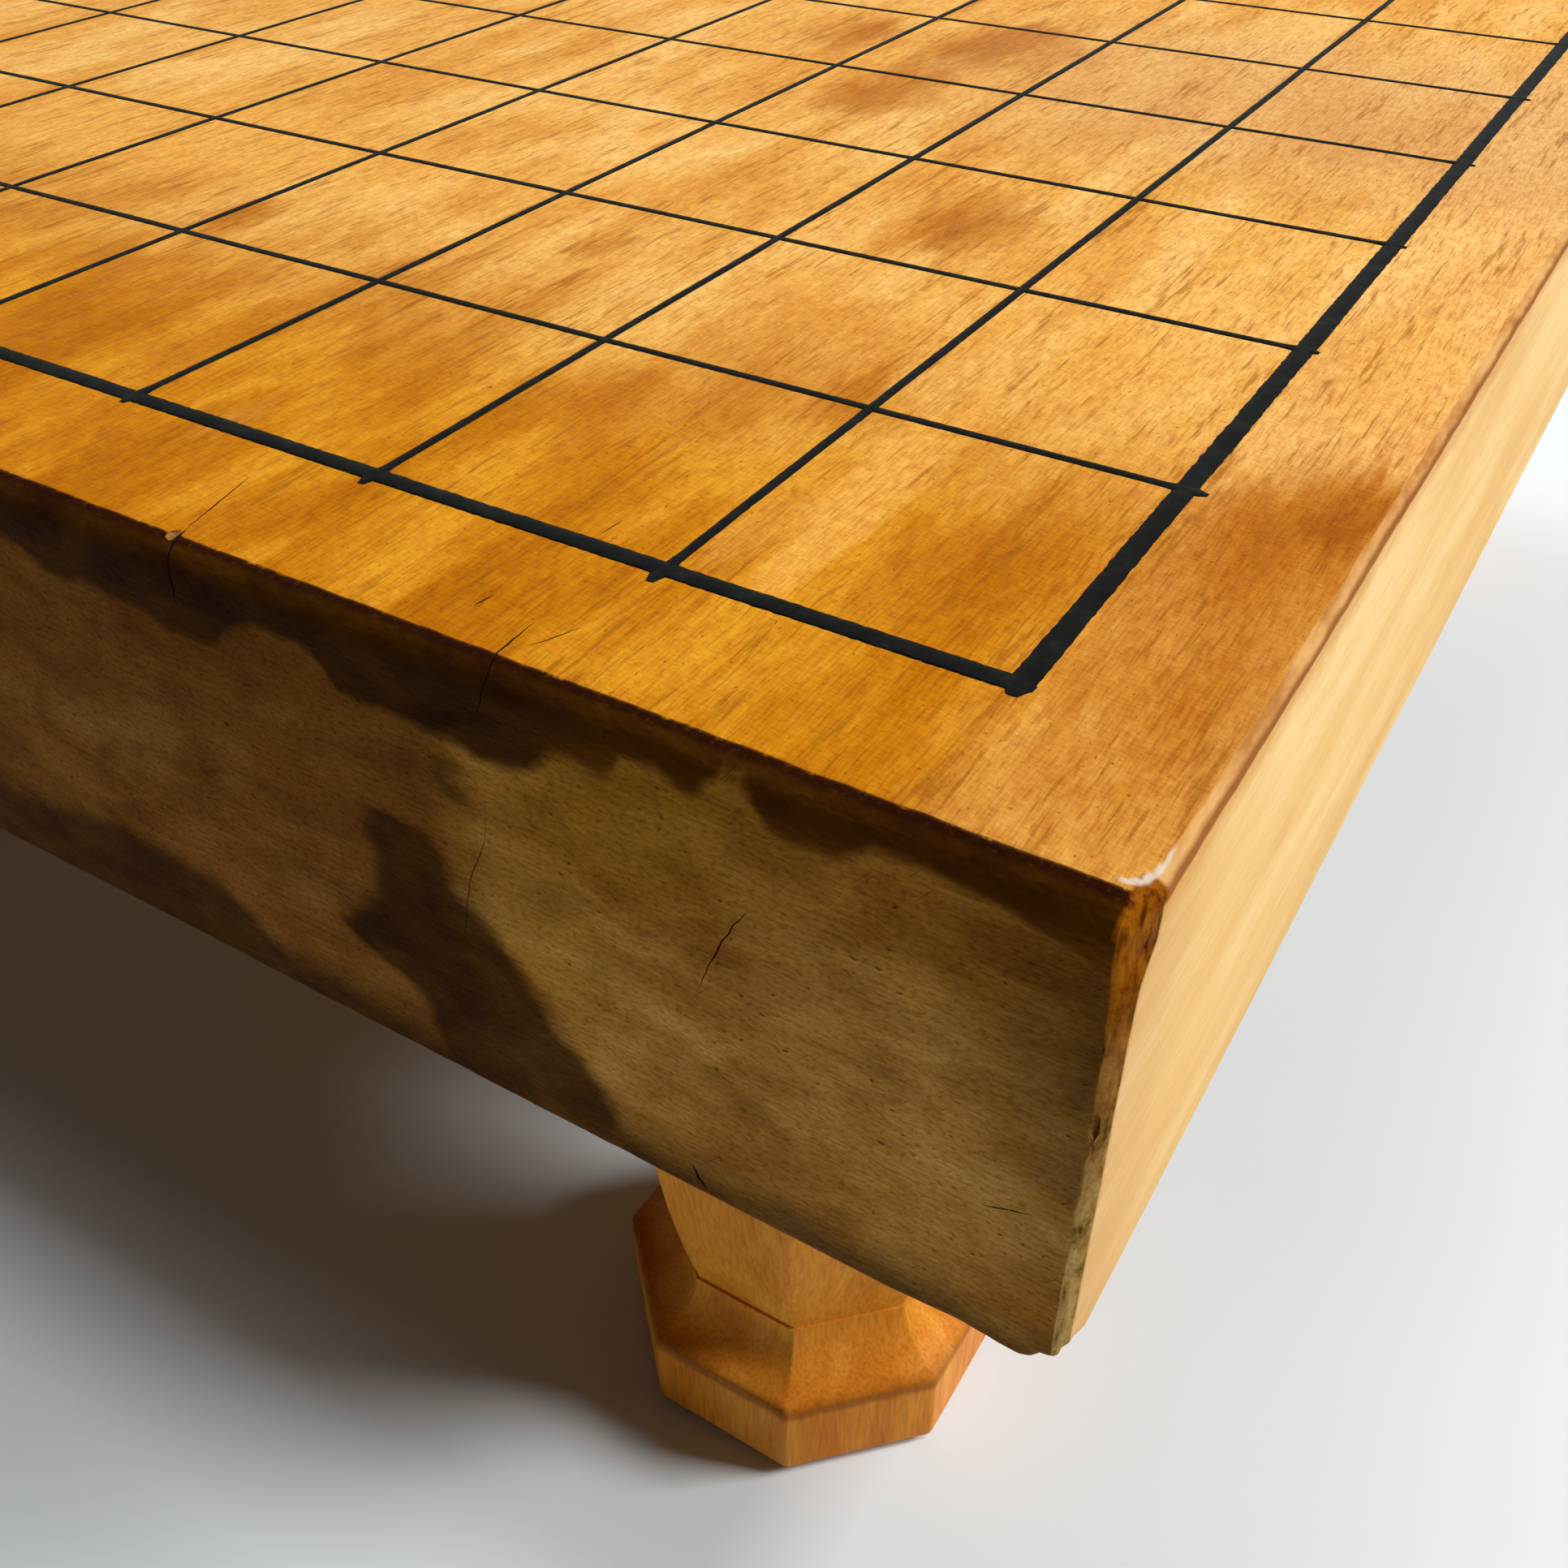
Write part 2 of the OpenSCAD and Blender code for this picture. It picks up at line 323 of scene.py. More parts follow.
# The slanting stain's left and right edges: a height, and how far past STAIN_X it is there
STAIN_X = 80
STAIN_LEFT = [(88.5, 18), (93, 18.4), (96.5, 18), (99.5, 15.5), (101.5, 11.5), (103, 8.6),
              (104.8, 10), (107.5, 12.6), (112, 14.6), (118, 15.6), (123, 16.4)]
STAIN_RIGHT = [(88.5, 39.6), (93, 40.8), (96.5, 39.2), (101, 35.4), (106, 32.1), (111, 28.8),
               (116, 24.8), (119, 23.2), (121, 20.8), (122, 17.6), (123, 14)]
# Soft stains, and places where the wood is more golden
END_STAINS = [((107, 0, 128), (3, ANY, 9), 0.33), ((66, 0, 112), (34, ANY, 16), 0.13),
              ((62, 0, 112), (26, ANY, 4), 0.1), ((155, 0, 98), (14, ANY, 18), 0.15),
              ((166, 0, 140), (9, ANY, 24), 0.45), ((-128, 0, 112), (5, ANY, 7), 0.8)]
GOLD_SPOTS = [((124, 0, 132), (12, ANY, 9), 1.0), ((114, 0, 116), (9, ANY, 14), 0.7),
              ((133, 0, 138), (8, ANY, 3), 0.6), ((-60, 0, 128), (18, ANY, 8), 0.8)]
# A curve's full height stands for this many millimetres
CURVE_SPAN = 40


def past_edge(tree, along, across_it, outline, base, way, soft):
    """0 on one side of an outline and 1 on the other, passing over between two distances in mm.
    The outline is a Float Curve: how far the edge is from base, up to CURVE_SPAN mm, along way."""
    start, end = outline[0][0], outline[-1][0]
    at = add(tree, "ShaderNodeMapRange", {"Value": along, "From Min": start * MM, "From Max": end * MM})
    curve = add(tree, "ShaderNodeFloatCurve", {"Value": at},
                stops=[((a - start) / (end - start), b / CURVE_SPAN) for a, b in outline])
    edge = add(tree, "ShaderNodeMath", {0: curve, 1: way * CURVE_SPAN * MM, 2: base * MM},
               operation="MULTIPLY_ADD")
    beyond = add(tree, "ShaderNodeMath", {0: across_it, 1: edge}, operation="SUBTRACT")
    return add(tree, "ShaderNodeMapRange",
               {"Value": beyond, "From Min": soft[0] * MM, "From Max": soft[1] * MM}, **SMOOTH)


def end_stain(tree, fine, smudge):
    """How dark the end grain is stained at each place, and its upper band alone."""
    x, _, z = add(tree, "ShaderNodeSeparateXYZ", {0: fine}).node.outputs
    band = past_edge(tree, x, z, BAND, TOP_Z, -1, (-0.8, 1.0))
    blob = stains(tree, fine, END_STAINS)
    blob = add(tree, "ShaderNodeMath", {0: smudge, 1: -0.5, 2: blob}, operation="MULTIPLY_ADD")
    blob = add(tree, "ShaderNodeMapRange",
               {"Value": blob, "From Min": -0.12, "From Max": 0.42, "To Max": 0.9}, **SMOOTH)
    # A slanting stain between two outlines, which stops short of the band
    leaning = add(tree, "ShaderNodeMath",
                  {0: past_edge(tree, z, x, STAIN_LEFT, STAIN_X, 1, (-2.2, 1.6)),
                   1: past_edge(tree, z, x, STAIN_RIGHT, STAIN_X, 1, (3.0, -1.0))}, operation="MULTIPLY")
    below_band = add(tree, "ShaderNodeMapRange",
                    {"Value": z, "From Min": 122.6 * MM, "From Max": 121.6 * MM, "To Max": 0.9})
    leaning = add(tree, "ShaderNodeMath", {0: leaning, 1: below_band}, operation="MULTIPLY")
    soaked = past_edge(tree, x, z, SOAKED, UNDER_Z, 1, (2.4, -2.2))
    soaked = add(tree, "ShaderNodeMath", {0: soaked, 1: 0.85}, operation="MULTIPLY")
    low_edge = add(tree, "ShaderNodeMapRange",
                   {"Value": z, "From Min": (UNDER_Z + 10) * MM, "From Max": UNDER_Z * MM}, **SMOOTH)
    less = add(tree, "ShaderNodeMapRange",
               {"Value": x, "From Min": 122 * MM, "From Max": 145 * MM, "To Min": 0.95, "To Max": 0.85})
    low_edge = add(tree, "ShaderNodeMath", {0: low_edge, 1: less}, operation="MULTIPLY")
    rim = joined_masks(tree, [(x, (HALF[0] - 15) * MM, (HALF[0] - 1) * MM, 0.0, 1.0),
                              (z, 100 * MM, 126 * MM, 0.1, 0.75)], "MULTIPLY")
    dark = band
    for other in (blob, leaning, soaked, low_edge, rim):
        dark = add(tree, "ShaderNodeMath", {0: dark, 1: other}, operation="MAXIMUM")
    return dark, band


def end_face(tree, place):
    """Colour, roughness and relief of the dark, stained end grain."""
    fine = shaken(tree, place, (6, 6, 5), (2.2, 0, 1.6), 2)
    x, _, z = add(tree, "ShaderNodeSeparateXYZ", {0: fine}).node.outputs
    cloud = streaks(tree, place, (17, 17, 10), 6, 3.0, 0.55, 0.6)
    wood = add(tree, "ShaderNodeValToRGB", {"Fac": cloud},
               stops=[(0.30, "#b57a31"), (0.50, "#ce9546"), (0.70, "#dfab5c")])
    golden = add(tree, "ShaderNodeMath", {0: stains(tree, fine, GOLD_SPOTS), 1: 0.6},
                 operation="MULTIPLY", use_clamp=True)
    wood = add(tree, "ShaderNodeMix", {0: golden, 6: wood, 7: linear("#bd8a18")}, **COLOURS)
    # Redder and darker away from the corner, and darker towards the band
    wood = layer(tree, wood, x, (112 * MM, 101 * MM, 1.0), "#b8aaa6", **DARKER)
    wood = layer(tree, wood, z, (110 * MM, 134 * MM, 1.0), "#dcd2b4", **DARKER)
    smudge = streaks(tree, place, (10, 10, 5), 21, 3.0, 0.6, 0.5)
    wood = darken(tree, wood, smudge, 0.5, [(0.32, "#a08a74"), (0.46, "#dccfbe"), (0.60, "#ffffff")])
    ring = streaks(tree, place, (14, 14, 0.45), 9, 2.0, 0.6, 0.3)
    wood = darken(tree, wood, ring, 0.18, [(0.32, "#b8a890"), (0.60, "#ffffff")])
    pores = streaks(tree, place, (0.7, 0.7, 0.5), 44, 2.0, 0.6, 0.3)
    wood = darken(tree, wood, pores, 0.55, [(0.30, "#9c8468"), (0.46, "#f0e8dc"), (0.60, "#ffffff")])
    # The stains are sooty brown, and the lower part of the band is thinner near the corner
    dark, band = end_stain(tree, fine, smudge)
    soot = add(tree, "ShaderNodeValToRGB", {"Fac": smudge}, stops=[(0.35, "#2e1403"), (0.62, "#462705")])
    thinner = add(tree, "ShaderNodeMapRange",
                  {"Value": x, "From Min": 112 * MM, "From Max": 126 * MM, "To Max": 0.85})
    thinner = add(tree, "ShaderNodeMath", {0: band, 1: thinner}, operation="MULTIPLY")
    lower = add(tree, "ShaderNodeMapRange",
                {"Value": z, "From Min": 140.8 * MM, "From Max": 137 * MM, "To Min": 0.1})
    thinner = add(tree, "ShaderNodeMath", {0: thinner, 1: lower}, operation="MULTIPLY")
    soot = add(tree, "ShaderNodeMix", {0: thinner, 6: soot, 7: linear("#6a3a06")}, **COLOURS)
    wood = add(tree, "ShaderNodeMix", {0: dark, 6: wood, 7: soot}, **COLOURS)
    # Dirt specks and two ways of scratches
    speck = streaks(tree, place, (1.0, 1.0, 0.6), 14, 1.0, 0.5)
    marks = [(speck, 0.69, 0.76, 0.0, 0.75)]
    for seed, turn in ((33, 0.45), (35, -0.9)):
        scratch = streaks(tree, place, (5, 4, 0.13), seed, 1.0, 0.5, 0.0, turn)
        marks.append((scratch, 0.70, 0.76, 0.0, 0.6))
    marked = joined_masks(tree, marks, "MAXIMUM")
    wood = add(tree, "ShaderNodeMix", {0: marked, 6: wood, 7: linear("#3a1c06")}, **COLOURS)
    gloss = add(tree, "ShaderNodeMapRange", {"Value": dark, "To Min": 0.7, "To Max": 0.55})
    relief = add(tree, "ShaderNodeMath", {0: ring, 1: 0.5, 2: speck}, operation="MULTIPLY_ADD")
    return wood, gloss, relief


print(len(BAND), "points outline the band,", len(SOAKED), "the soaked wood at the bottom")

# %% [markdown]
# The sides are long grain too, but they were hardly oiled: smooth and cream-yellow. Hands have
# rubbed them brown in a narrow strip along the top arris, and old oil has gathered in a line at
# that strip's lower edge.

# %% Long grain of the sides
def side_face(tree, place, from_top):
    """Colour, roughness and relief of the pale long grain of the sides."""
    figure = streaks(tree, place, (10, 60, 9), 4, 3.0, 0.5, 0.3)
    wood = add(tree, "ShaderNodeValToRGB", {"Fac": figure},
               stops=[(0.30, "#e0b26b"), (0.52, "#eac17d"), (0.72, "#f3ce92")])
    fibre = streaks(tree, place, (0.5, 8, 0.5), 8, 3.0, 0.6)
    wood = darken(tree, wood, fibre, 0.35, [(0.30, "#e2cba8"), (0.55, "#ffffff")])
    # A little greyer towards the two ends and the underside, where the board is gripped
    _, to_end, height = from_middle(tree, place)
    touched = joined_masks(tree, [(to_end, 160 * MM, 182 * MM, 0.0, 0.7),
                                  (height, 112 * MM, 88 * MM, 0.0, 0.3)], "ADD", **SMOOTH)
    wood = add(tree, "ShaderNodeMix", {0: touched, 6: wood, 7: linear("#e6dcdc")}, **COLOURS, **DARKER)
    patch = streaks(tree, place, (3, 9, 3), 12, 4.0, 0.6)
    lower = add(tree, "ShaderNodeMath", {0: patch, 1: -9.0, 2: from_top}, operation="MULTIPLY_ADD")
    wood = layer(tree, wood, lower, (1.5, -4.0, 0.7), "#cd9040")
    rubbed = add(tree, "ShaderNodeMapRange",
                 {"Value": from_top, "From Min": 1.1, "From Max": 0.7, "To Max": 0.9}, **SMOOTH)
    tan = add(tree, "ShaderNodeValToRGB", {"Fac": patch},
              stops=[(0.36, "#a86c34"), (0.48, "#c28c50"), (0.62, "#d2a264")])
    wood = add(tree, "ShaderNodeMix", {0: rubbed, 6: wood, 7: tan}, **COLOURS)
    oil_line = joined_masks(tree, [(from_top, 1.35, 1.1, 0.0, 1.0), (from_top, 0.35, 0.7, 0.0, 0.85)],
                            "MULTIPLY")
    wood = add(tree, "ShaderNodeMix", {0: oil_line, 6: wood, 7: linear("#84461c")}, **COLOURS)
    return wood, 0.5, fibre


print("the sides are rubbed brown in their top millimetre")

# %% [markdown]
# The faces are then mixed. The masks work on distances in millimetres from the end, the side and
# the top, so each is read as a carpenter would say it: the end's dark finish starts 2.6 mm before
# the end, with a dark line there: oil pooled on the arris, and painted shade where the arris
# turns down from the top. The upright corners are worn through to golden wood, and on the very
# top of each corner a thin pale arc: rubbed wood, with a painted highlight on its rounding. The
# underside never saw oil at all, so it is duller.

# %% Worn edges and the whole plank
# Five small stains in a row make the pale arc of a corner: rubbed wood, with a painted highlight on its
# rounding
PALE_WEAR_AND_HIGHLIGHT = [((163.8, 178.7, 141.9), (0.6, 0.3, 0.9), 1.3),
            ((164.4, 178.35, 141.9), (0.5, 0.4, 0.9), 1.5),
            ((164.9, 177.6, 141.9), (0.4, 0.6, 0.9), 1.5),
            ((165.25, 176.5, 141.9), (0.3, 0.9, 0.9), 1.4),
            ((165.45, 174.9, 141.9), (0.22, 1.3, 0.9), 0.9)]


def oil_and_shade_line(tree, colour, place, from_end, from_top):
    """A dark line on the end's arris, broken by small chips: pooled oil and painted shade."""
    chip = streaks(tree, place, (0.7, 0.7, 0.7), 19, 3.0, 0.6)
    oil_and_shade = joined_masks(tree, [(from_end, 2.75, 2.6, 0.0, 1.0), (from_end, 1.9, 1.4, 0.85, 0.0),
                                 (from_top, 2.5, 2.0, 0.0, 1.0), (chip, 0.68, 0.55, 0.0, 1.0)],
                          "MULTIPLY")
    # Pooled oil, and painted shade where the arris turns down from the top to the end
    return add(tree, "ShaderNodeMix", {0: oil_and_shade, 6: colour, 7: linear("#260b03")}, **COLOURS)


def worn_corners(tree, colour, place, from_side, from_end, from_top):
    """Golden upright corners: where both the end and the side are near, but not on their flats."""
    both = joined_masks(tree, [(from_side, 2.2, 1.9, 0.0, 1.0), (from_end, 4.9, 4.5, 0.0, 1.0)],
                        "MULTIPLY")
    on_flat = joined_masks(tree, [(out_by, (half - 0.10) * MM, (half - 0.04) * MM, 0.0, 1.0)
                                  for out_by, half in zip(from_middle(tree, place)[:2], HALF)],
                           "MAXIMUM")
    worn = add(tree, "ShaderNodeMath", {0: both, 1: on_flat}, operation="SUBTRACT", use_clamp=True)
    wear = streaks(tree, place, (1.2, 1.2, 3.5), 19, 4.0, 0.65)
    upper_gold = add(tree, "ShaderNodeValToRGB", {"Fac": wear},
                     stops=[(0.36, "#361804"), (0.46, "#743c02"), (0.60, "#96560a")])
    lower_gold = add(tree, "ShaderNodeValToRGB", {"Fac": wear},
                     stops=[(0.34, "#50380f"), (0.44, "#8e6a2c"), (0.62, "#b08e52")])
    height = add(tree, "ShaderNodeMapRange", {"Value": from_top, "From Min": 32.0, "From Max": 8.0})
    gold = add(tree, "ShaderNodeMix", {0: height, 6: lower_gold, 7: upper_gold}, **COLOURS)
    return add(tree, "ShaderNodeMix", {0: worn, 6: colour, 7: gold}, **COLOURS)


def oiled_wood():
    """Aged softwood, planed and rubbed with oil: a low satin sheen over warm, uneven colour."""
    material, tree, place = new_material("aged_oiled_softwood")
    # The back end is seen from behind, so X is turned round there
    behind = add(tree, "ShaderNodeMath", {0: add(tree, "ShaderNodeSeparateXYZ", {0: place}, out=1), 1: 0.0},
                 operation="LESS_THAN")
    way = add(tree, "ShaderNodeMapRange", {"Value": behind, "To Min": -1.0, "To Max": 1.0})
    way = add(tree, "ShaderNodeCombineXYZ", {0: way, 1: 1.0, 2: 1.0})
    end_place = add(tree, "ShaderNodeVectorMath", {0: place, 1: way}, operation="MULTIPLY")
    # Millimetres in from the side, the end and the top, a little uneven
    folded = add(tree, "ShaderNodeVectorMath", {0: shaken(tree, place, (5, 5, 5), (0.2, 0.2, 0.3), 1)},
                 operation="ABSOLUTE")
    inset = add(tree, "ShaderNodeVectorMath",
                {0: folded, 1: (-1000, -1000, -1000), 2: (HALF[0], HALF[1], TOP_Z)},
                operation="MULTIPLY_ADD")
    from_side, from_end, from_top = add(tree, "ShaderNodeSeparateXYZ", {0: inset}).node.outputs
    colour, gloss, relief = top_face(tree, place)
    for from_face, start, full, other in ((from_end, 2.7, 2.4, end_face(tree, end_place)),
                                          (from_side, 1.2, 1.0, side_face(tree, place, from_top))):
        mask = add(tree, "ShaderNodeMapRange", {"Value": from_face, "From Min": start, "From Max": full})
        colour = add(tree, "ShaderNodeMix", {0: mask, 6: colour, 7: other[0]}, **COLOURS)
        gloss = add(tree, "ShaderNodeMix", {0: mask, 2: gloss, 3: other[1]})
        relief = add(tree, "ShaderNodeMix", {0: mask, 2: relief, 3: other[2]})
    # The dark arris line: pooled oil and painted shade
    colour = oil_and_shade_line(tree, colour, place, from_end, from_top)
    colour = worn_corners(tree, colour, place, from_side, from_end, from_top)
    # The pale arc on each corner's top: rubbed wood, and a painted highlight
    pale = stains(tree, shaken(tree, folded, (1.2, 1.2, 1.2), (0.1, 0.2, 0.1), 8), PALE_WEAR_AND_HIGHLIGHT)
    pale = add(tree, "ShaderNodeMath", {0: pale, 1: 0.9}, operation="MULTIPLY", use_clamp=True)
    colour = add(tree, "ShaderNodeMix", {0: pale, 6: colour, 7: linear("#d6c2ac")}, **COLOURS)
    thickness = TOP_Z - UNDER_Z
    colour = layer(tree, colour, from_top, (thickness - 0.7, thickness - 0.1, 0.75), "#66492c")
    surface(tree, colour, gloss, relief, 1.0, 0.14 * MM, {"IOR": 1.48, "Specular IOR Level": 0.01})
    return material


plank_wood = oiled_wood()
print("the plank's material has", len(plank_wood.node_tree.nodes), "nodes")

# %% [markdown]
# Three plain finishes show only where the plank is cut: old dirt and painted shade inside the
# drying cracks, torn wood where a splinter has broken out, and the dry wood inside the mortises
# and the recess. None of them was ever polished, so all three are matt.

# %% Finishes inside the cuts
def cut_finish(name, deep, pale, size):
    """A matt finish that varies between two colours in patches of size mm."""
    material, tree, place = new_material(name)
    patch = streaks(tree, place, size, 2, 4.0)
    colour = add(tree, "ShaderNodeValToRGB", {"Fac": patch}, stops=[(0.35, deep), (0.65, pale)])
    surface(tree, colour, 0.8, patch, 0.6, 0.1 * MM, {"Specular IOR Level": 0.1})
    return material


# Dust and oil packed in by years of wiping, and painted shade deep in the narrow gap: nearly black, so that
# a crack reads as a dark line
crack_dirt_and_shade = cut_finish("dirt_and_painted_shade_in_cracks", "#140a04", "#2c1808", (0.6, 0.6, 0.6))
# Torn instead of cut: short, uneven fibres, paler than the stained skin round them
split_wood = cut_finish("broken_wood_fibres", "#4e2e0e", "#94662a", (0.5, 0.9, 0.5))
# Chopped out with a chisel and left bare: pale and dry, streaked along the grain
dry_wood = cut_finish("unoiled_chiselled_wood", "#9c7444", "#c49a64", (1.2, 9, 1.2))
print("three finishes inside the cuts")

# %% [markdown]
# ## The plank's shape
# A box with a bevel would have perfect edges. Real edges are worn: their radius comes and goes,
# and the upright corners are rubbed into narrow flats. So the plank is made as a skin of small
# cells along its edges, with one big face in the middle of each side where it is flat, and each
# point near an edge is pulled in towards a rounding whose radius changes along the edge.
#
# The rounding works in the corner of a cross-section. There, a point on the square outline goes
# to a curve: power 2 gives a circle's arc, and power near 1 a straight flat.

# %% Where the cells of the skin lie
def lines(start, stops):
    """Positions from start on, each stretch given as its end and its step."""
    places = [start]
    for end, step in stops:
        count = max(1, round((end - places[-1]) / step))
        first = places[-1]
        places += [first + (end - first) * (i + 1) / count for i in range(count)]
    return np.array(places)


# The width in mm of the rim of small cells, and how close two lines count as the same
RIM, CLOSE = 5.4, 0.01
# The skin is finest near the corner that the camera stands at. Each stretch: its end and its step
across = lines(-HALF[0], [(-HALF[0] + RIM, 0.45), (45, 2.4), (HALF[0] - RIM, 0.55), (HALF[0], 0.3)])
along = lines(-HALF[1], [(-HALF[1] + RIM, 0.3), (-60, 0.75), (HALF[1] - RIM, 2.4), (HALF[1], 0.45)])
upright = lines(-HALF[2], [(-HALF[2] + RIM, 0.36), (HALF[2] - RIM, 0.7), (HALF[2], 0.3)])
grid = [across, along, upright]
counts = [len(g) for g in grid]
print("skin lines along X, Y and Z:", counts)

# %% The skin: cells round each face's rim, one flat face inside
def skin():
    """The points and faces of the unrounded plank, all its faces turned outwards."""
    faces = []
    step = (counts[1] * counts[2], counts[2], 1)
    for axis in range(3):
        b, c = (axis + 1) % 3, (axis + 2) % 3
        inner = [np.searchsorted(grid[n], (-HALF[n] + RIM - CLOSE, HALF[n] - RIM + CLOSE))
                 for n in (b, c)]
        (b0, b1), (c0, c1) = [(int(i), int(j) - 1) for i, j in inner]
        for side in (0, counts[axis] - 1):
            base = side * step[axis]
            for i in range(counts[b] - 1):
                for j in range(counts[c] - 1):
                    if b0 <= i < b1 and c0 <= j < c1:
                        continue
                    quad = [base + (i + di) * step[b] + (j + dj) * step[c]
                            for di, dj in ((0, 0), (1, 0), (1, 1), (0, 1))]
                    faces.append(quad if side else quad[::-1])
            rim = [(i, c0) for i in range(b0, b1)] + [(b1, j) for j in range(c0, c1)]
            rim += [(i, c1) for i in range(b1, b0, -1)] + [(b0, j) for j in range(c1, c0, -1)]
            flat = [base + i * step[b] + j * step[c] for i, j in rim]
            faces.append(flat if side else flat[::-1])
    used = sorted({v for face in faces for v in face})
    order = {v: n for n, v in enumerate(used)}
    points = np.array([(across[v // step[0]], along[v // step[1] % counts[1]], upright[v % counts[2]])
                       for v in used])
    return points, [[order[v] for v in face] for face in faces]


points, faces = skin()
print(len(points), "points,", len(faces), "faces")

# %% [markdown]
# Wear is noise along the edge: slow changes from the way the board was handled, and quick ones
# from knocks. Noise only ever takes wood away, so the plank stays inside its CAD size. The lower
# arrises grow rounder towards the corners, and the very tips of the lower corners are blunt.

# %% Rounding and wearing the edges
def noise_at(places, size, seed):
    """Noise from -1 to 1 at each place, with lumps of size mm."""
    return np.array([noise.noise(Vector(p) / size + Vector((seed, 0, 0))) for p in places])


def round_edges(places, a, b, radii, power):
    """Pulls the points near the edges between faces a and b in to a rounding with these radii."""
    u = (np.abs(places[:, a]) - HALF[a]) / radii[0] + 1
    v = (np.abs(places[:, b]) - HALF[b]) / radii[1] + 1
    near = (u > 0) & (v > 0)
    u, v = np.where(near, u, 1), np.where(near, v, 1)
    pull = np.maximum(u, v) / (u ** power + v ** power) ** (1 / power)
    for axis, part, radius in ((a, u, radii[0]), (b, v, radii[1])):
        pulled = np.sign(places[:, axis]) * (HALF[axis] - radius + radius * part * pull)
        places[:, axis] = np.where(near, pulled, places[:, axis])
    return near


upper = points[:, 2] > 0
slow, quick = noise_at(points, 17, 3), noise_at(points, 2.6, 9)
wear = 1 + 0.13 * slow + 0.06 * quick
worn = np.zeros(len(points), bool)
# The bottom edge is worn hollow a little way in from the near right corner, and rounder at it
hollow = 0.8 * np.exp(-((points[:, 0] - 156.5) / 4) ** 2) * (points[:, 1] < 0)
corner = 1.4 * np.clip((np.abs(points[:, 0]) - 162.5) / 4, 0, 1)
radius = np.where(upper, 2.9, 1.3 + hollow + corner) * wear
worn |= round_edges(points, 1, 2, (radius, radius), 2.0)
# The lower arris along the sides is rounder at the two ends
at_end = np.clip((np.abs(points[:, 1]) - HALF[1] + 5.5) / 3.5, 0, 1) * ~upper
radius = (1.1 + 3.4 * at_end) * wear
worn |= round_edges(points, 0, 2, (radius, radius), 1.6 + 0.4 * at_end)
# The upright corners are flats, and near the top hands have worn them further along the side
near_top = np.clip((points[:, 2] - 19.5) / 3, 0, 1)
worn |= round_edges(points, 0, 1, ((1.35 + 0.014 * points[:, 2]) * wear, (1.6 + 2.3 * near_top) * wear),
                    1.25)
# The very tips of the lower corners have been knocked blunt
from_tip = np.linalg.norm((np.abs(points) - HALF) / (3, 4, 5), axis=1)
points[:, 2] += np.where(upper, 0, 1.6 * np.clip(1 - from_tip, 0, 1))
# Roughness takes wood away along the way out from a core that lies 3 mm inside the plank
inner = np.clip(points, 3 - HALF, HALF - 3)
out = (points - inner) / np.maximum(np.linalg.norm(points - inner, axis=1), 1e-9)[:, None]
grain, dents = noise_at(points, 1.0, 5), noise_at(points, 4.5, 7)
rough = 0.06 * np.maximum(grain, 0) + 0.12 * np.maximum(dents - 0.25, 0)
points -= out * (rough * worn)[:, None]
points = points + MIDDLE
print("largest wear", round(float(rough[worn].max()), 2), "mm at", int(worn.sum()), "points")

# %% [markdown]
# ## Cracks, nicks, mortises and the recess
# The wood is taken away with Booleans, as a chisel or a knock would. A drying crack is a thin
# wedge: it follows the grain down the end face, over the edge and a little way along the top,
# widest in the middle and closing to nothing at both ends. A nick is a small squashed lump.
#
# All the cracks are one cutter, all the nicks are the second and the joints are the third. A
# Boolean costs most for being run at all, and each cutter leaves its own finish on its cuts.

# %% Cutters
# The worn arris lies this far in from both faces, in mm
ARRIS = 0.85


def front(x, z):
    """A point on the near end, and its outward way."""
    return (x, -HALF[1], z), (0, -1, 0)


def edge(x):
    """A point on the near end's top arris, and its outward way."""
    return (x, -HALF[1] + ARRIS, TOP_Z - ARRIS), (0, -0.7, 0.7)


def top(x, y):
    """A point on the top, and its outward way."""
    return (x, y, TOP_Z), (0, 0, 1)


# Each crack: its widest gap and its depth in mm, then the points it runs through
CRACKS = [
    (0.34, 1.2, [front(76.1, 136.4), front(76.3, 139.2), edge(75.9), top(75.2, -178.4)]),
    (0.15, 0.6, [top(75.2, -178.8), top(73.6, -172.4), top(72.6, -168.4)]),
    (0.19, 1.0, [front(110.8, 137.6), front(111.5, 139.2), edge(111.9), top(111.4, -179.2),
                 top(111.1, -174.2)]),
    (0.09, 0.6, [front(110.1, 127.4), front(109.5, 123.6), front(107.2, 118.7), front(106.2, 115.6),
                 front(105.3, 111.5), front(104.5, 108.7)]),
    (0.14, 0.8, [front(136.2, 128.4), front(134.6, 125.6), front(133.5, 123.3), front(132.2, 120.2),
                 front(131.3, 117.5)]),
    (0.14, 0.6, [front(157.6, 106.9), front(159.5, 107.6), front(162, 108.6)]),
    (0.20, 0.6, [top(105.3, -174.9), top(105.6, -172.7)]),
    (0.14, 0.5, [top(112.8, -177.3), top(114, -175), top(114.8, -172.9)]),
    (0.14, 0.4, [top(107.2, -160.2), top(107.4, -157)]),
    (0.34, 1.2, [front(130.9, 89.9), front(129.9, 91.2), front(129.3, 92.8)]),
    (0.22, 1.0, [front(-31, 131), front(-30.4, 138.5), edge(-30.2), top(-30.5, -178.9),
                 top(-31.4, -171)]),
]


# A crack is made in pieces about this long, and its wedge starts this high above the wood, in mm
PIECE, LIFT = 0.7, 0.5


